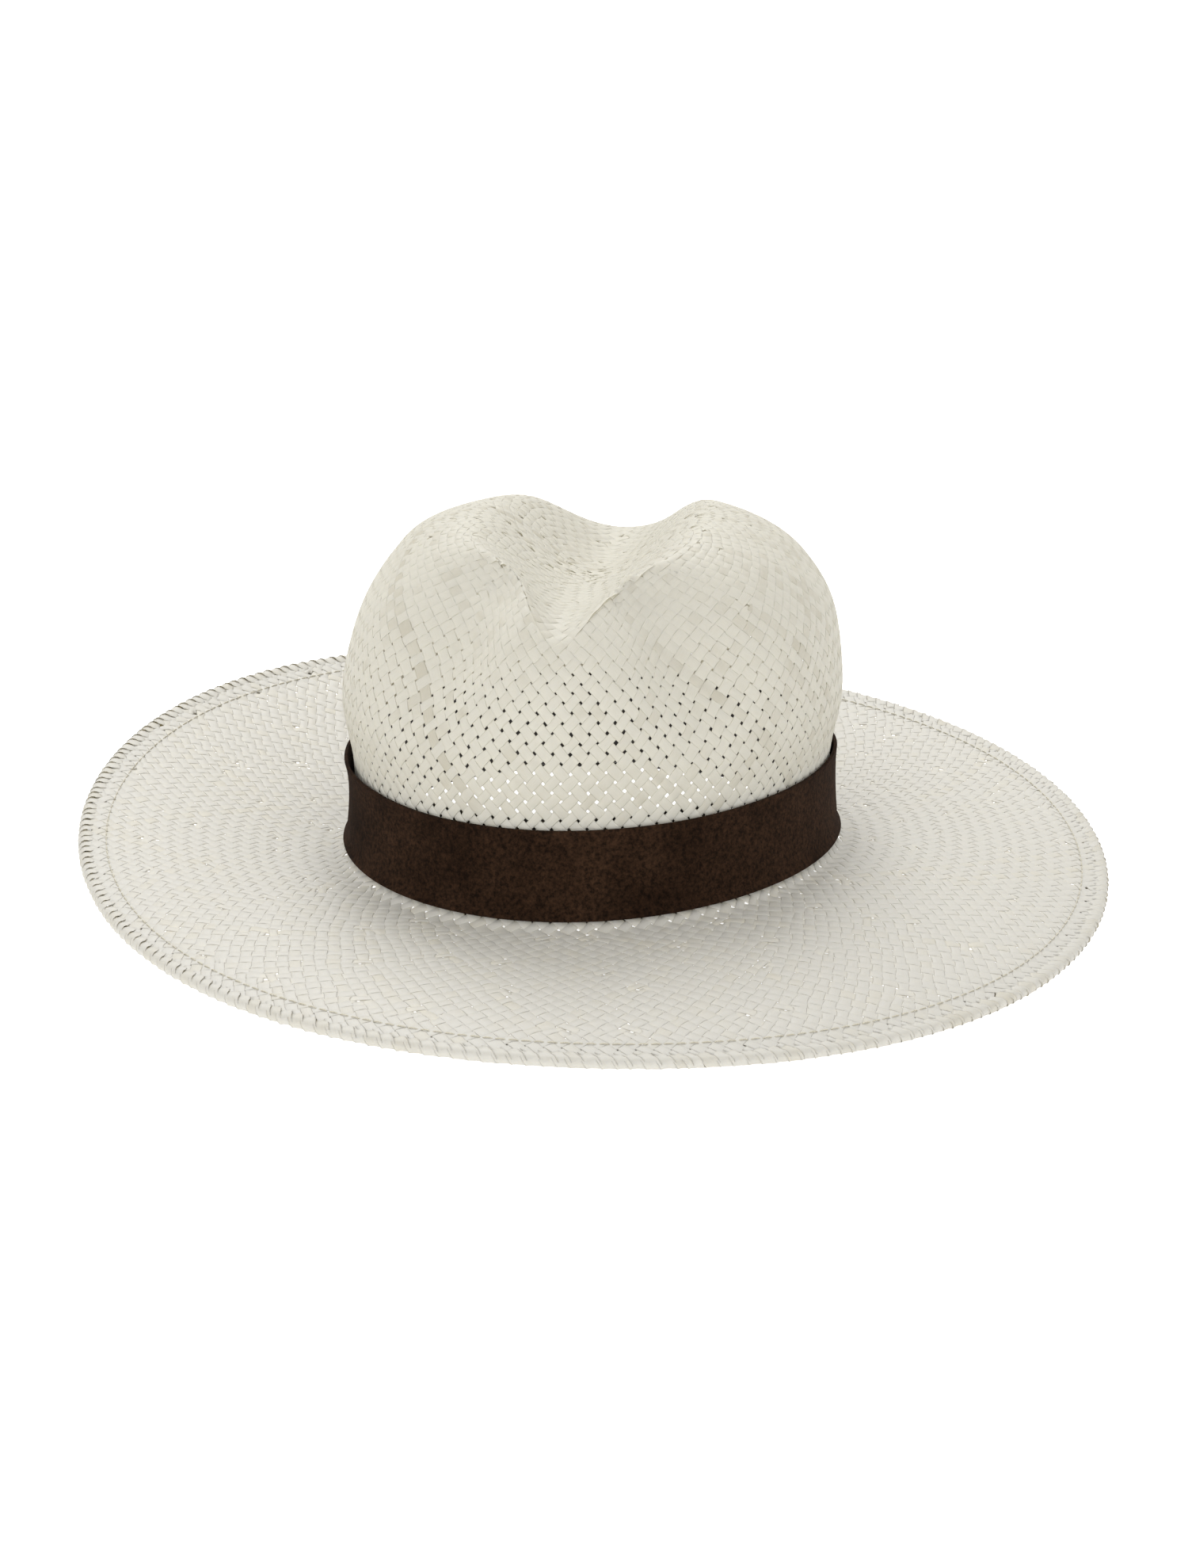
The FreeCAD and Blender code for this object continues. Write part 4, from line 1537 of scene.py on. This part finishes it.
@dataclass
class SweatBand:
    """Ribbon sweatband with its cord, stitches and seam tape."""

    form: HatForm
    finish: RibbonFinish = RibbonFinish("ribbon_dark")
    thread: ThreadFinish = ThreadFinish("thread_black", (0.030, 0.024, 0.021))
    height: float = 36.0
    foot: float = 1.0
    thickness: float = 0.9
    clearance: float = 0.6
    reed: float = 1.6
    stitch_rise: float = 2.2
    tape_half: float = math.radians(3.4)

    def _place(self, angle: np.ndarray, rise: np.ndarray, depth: np.ndarray) -> np.ndarray:
        """A place of the sweatband: rise above its lower edge, depth from its outer face."""
        inset = self.form.straw + self.clearance + depth
        return self.form.wall(angle, self.foot + rise, -inset, self.form.flare)

    def build(self) -> None:
        """Makes the sweatband and all that is sewn to it."""
        ribbon = self.finish.build()
        near = self.form.straw + self.clearance
        top = self.foot + self.height
        band = Band("sweatband_ribbon", self.foot, top,
                    lambda a, s: np.full_like(a, -near - self.thickness), self.thickness,
                    self.form, upright_below=self.form.flare, round_edge=0.25)
        finish_piece(band.build(ribbon), "sweatband", "sweatband")
        tape = Band("sweatband_tape", self.foot + 2.7, top - 1.5,
                    lambda a, s: np.full_like(a, -near - self.thickness - 0.5), 0.4,
                    self.form, upright_below=self.form.flare, round_edge=0.1,
                    start=0.5 * math.pi - self.tape_half, end=0.5 * math.pi + self.tape_half,
                    columns=16, rows=16)
        finish_piece(tape.build(ribbon), "sweatband", "sweatband_seam_tape")
        drop = -(self.reed / 2.0 + 0.1)
        cord = ring_cord("sweatband_cord",
                         lambda a, o: self._place(a, drop + o[:, 1], 0.45 - o[:, 0]),
                         self.reed / 2.0, self.thread.build())
        finish_piece(cord, "reed", "sweatband_reed")
        angle = np.linspace(0.0, 2.0 * math.pi, 721)
        rise = np.full_like(angle, self.stitch_rise)
        line = self._place(angle, rise, np.full_like(angle, self.thickness + 0.12))
        up = line - self._place(angle, rise, np.full_like(angle, self.thickness - 0.88))
        stitches = StitchLine(length=2.4, pitch=3.3, thickness=0.4)
        piece = stitches.build("sweatband_stitches", line, up,
                               bpy.data.materials[self.thread.name])
        finish_piece(piece, "dark_thread", "sweatband_stitching")


@dataclass
class HemStitching:
    """Cream stitches that close the hem, seen on both sides of the brim."""

    form: HatForm
    thread: ThreadFinish = ThreadFinish("thread_cream", (0.80, 0.75, 0.60))
    inset: float = 9.3

    def build(self) -> None:
        """Sews the hem."""
        angle = np.linspace(0.0, 2.0 * math.pi, 1441)
        inset = np.full_like(angle, self.inset)
        material = self.thread.build()
        top = self.form.inset(angle, inset, np.full_like(angle, -0.08))
        up = top - self.form.inset(angle, inset, np.full_like(angle, -0.98))
        depth = 2.0 * self.form.straw + self.form.hem_gap
        under = self.form.inset(angle, inset, np.full_like(angle, -depth - 0.02))
        for name, line, away in (("hem_stitches_top", top, up), ("hem_stitches_under", under, -up)):
            piece = StitchLine(length=3.0, pitch=4.0, thickness=0.38).build(
                name, line, away, material)
            finish_piece(piece, "thread", "brim_hem_stitching")


@dataclass
class HemReturn:
    """Turned-in layer of woven straw under the brim edge."""

    form: HatForm
    finish: StrawFinish
    seed: int = 41
    pitch: float = 5.3
    start: float = 5.2
    rings: int = 3
    step: float = 2.6
    thickness: float = 0.5
    lift: float = 0.27

    def build(self) -> None:
        """Weaves the narrow strip."""
        rng = np.random.default_rng(self.seed)
        dense = np.linspace(0.0, 2.0 * np.pi, 721)
        run = travelled(self.form.inset(dense, np.full_like(dense, 8.0), np.zeros_like(dense)))
        count = int(round(run[-1] / self.pitch))
        samples = self.rings * 3 - 2
        share = np.linspace(0.0, 1.0, samples)
        for family in Family:
            lean = 1.0 if family is Family.LEANING_RIGHT else -1.0
            points, normals, tones, widths = [], [], [], []
            for k in range(count):
                middle = (k + 0.25 * (1.0 + lean)) * run[-1] / count + rng.normal(0.0, 0.15)
                along = middle + lean * self.pitch * 0.5 * (self.rings - 1) * (share - 0.5)
                angle = np.interp(along % run[-1], run, dense)
                inset = self.start + self.step * (self.rings - 1) * share
                wave = lean * np.where(share < 0.5, 1.0, -1.0) * self.lift
                depth = self.form.straw * 1.5 + self.form.hem_gap
                points.append(self.form.inset(angle, inset, wave - depth))
                normals.append(self.form.normal(
                    angle, self.form.crown_run + self.form.brim_run - inset))
                widths.append(np.full(samples, 3.55 * rng.normal(1.0, 0.04)))
                tones.append(np.full(samples, np.clip(rng.normal(0.6, 0.2), 0.0, 1.0)))
            size = np.full(count * samples, self.thickness)
            straw_piece(f"straw_hem_return_{family.value}", Strip(),
                        (np.concatenate(points), np.concatenate(normals),
                         np.concatenate(widths), size), [samples] * count,
                        np.concatenate(tones), bpy.data.materials[self.finish.name])


# ---------------------------------------------------------------- the studio


@dataclass
class Studio:
    """Plain pale floor, soft light and the camera."""

    azimuth: float = 8.0
    elevation: float = 15.5
    distance: float = 1.314
    aim_right: float = 0.0006
    aim_up: float = 0.0164
    lens: float = 85.0
    key_power: float = 18.0
    fill_power: float = 5.0
    floor_width: float = 14.0
    floor_grey: float = 0.58
    floor_glow: float = 0.85
    surround_glow: float = 0.95

    def camera(self) -> None:
        """Sets up the camera."""
        turn, tilt = math.radians(self.azimuth), math.radians(self.elevation)
        right = Vector((math.cos(turn), math.sin(turn), 0.0))
        back = Vector((math.sin(turn) * math.cos(tilt), -math.cos(turn) * math.cos(tilt),
                       math.sin(tilt)))
        up = back.cross(right)
        data = bpy.data.cameras.new("camera")
        data.lens = self.lens
        data.sensor_fit = "VERTICAL"
        data.sensor_height = 36.0
        data.clip_end = 50.0
        camera = bpy.data.objects.new("camera", data)
        place = right * self.aim_right + up * self.aim_up + back * self.distance
        turned = Matrix((right, up, back)).transposed().to_4x4()
        camera.matrix_world = Matrix.Translation(place) @ turned
        bpy.context.scene.collection.objects.link(camera)
        bpy.context.scene.camera = camera

    def light(self, name: str, place: tuple, size: float, power: float,
              aim: tuple = (0.0, 0.0, 0.05)) -> None:
        """Adds one soft light.

        Args:
            name: Its name.
            place: Where it stands, in metres.
            size: Its width, in metres.
            power: Its power, in watts.
            aim: What it points at.
        """
        data = bpy.data.lights.new(name, "AREA")
        data.shape = "DISK"
        data.size = size
        data.energy = power
        lamp = bpy.data.objects.new(name, data)
        lamp.location = place
        towards = Vector(aim) - Vector(place)
        lamp.rotation_euler = towards.to_track_quat("-Z", "Y").to_euler()
        bpy.context.scene.collection.objects.link(lamp)

    def floor(self, height: float) -> None:
        """Lays the pale floor and the pale surround.

        Args:
            height: Where the hat rests, in metres.
        """
        bpy.ops.object.select_all(action="DESELECT")
        bpy.ops.mesh.primitive_plane_add(size=self.floor_width, location=(0.0, 0.0, height))
        floor = bpy.context.active_object
        floor.name = "floor"
        board, shader, _ = new_material("floor_white")
        white = (1.0, 1.0, 1.0, 1.0)
        board.fill(shader, Base_Color=(*(self.floor_grey,) * 3, 1.0), Roughness=0.9,
                   Specular_IOR_Level=0.0, Emission_Color=white,
                   Emission_Strength=self.floor_glow)
        floor.data.materials.append(bpy.data.materials["floor_white"])
        floor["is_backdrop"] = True
        world = bpy.data.worlds.new("surround")
        world.use_nodes = True
        board.fill(world.node_tree.nodes["Background"], Color=white, Strength=self.surround_glow)
        bpy.context.scene.world = world

    def build(self, rest_height: float) -> None:
        """Builds camera, lights and floor.

        Args:
            rest_height: Lowest place of the hat, in metres.
        """
        self.camera()
        self.light("key", (-0.25, 1.1, 1.5), 1.0, self.key_power)
        self.light("fill", (-0.6, -1.8, 0.55), 1.0, self.fill_power)
        self.floor(rest_height)
        bpy.context.scene.view_settings.view_transform = "Standard"


def build_hat() -> None:
    """Builds every piece of the hat in order."""
    form = HatForm()
    # Crown and brim are one straw: the crown's copy is painted paler and warmer, painted light
    # standing in for light shining through the crown, and the brim's copy is painted darker,
    # painted shade.
    crown = StrawFinish("straw_crown_painted_light", pale=(0.830, 0.818, 0.762),
                        glow=(0.870, 0.830, 0.680), see_through=0.42)
    brim = StrawFinish("straw_brim_painted_shade", pale=(0.700, 0.686, 0.640), see_through=0.22)
    Weave(form, crown, brim).build()
    RolledEdge(form, StrawFinish("straw_edge", see_through=0.26)).build()
    HemReturn(form, brim).build()
    HemStitching(form).build()
    HatBand(form).build()
    SweatBand(form).build()
    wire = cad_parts["brim_edge_wire"]
    wire.data.materials.clear()
    wire.data.materials.append(WireFinish("wire_steel").build())


def main() -> None:
    """Builds the hat and the studio, the floor laid at the hat's lowest point."""
    logging.basicConfig(level=logging.INFO)
    build_hat()
    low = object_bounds()[0]
    Studio().build(float(low[2]))


if __name__ == "__main__":
    main()
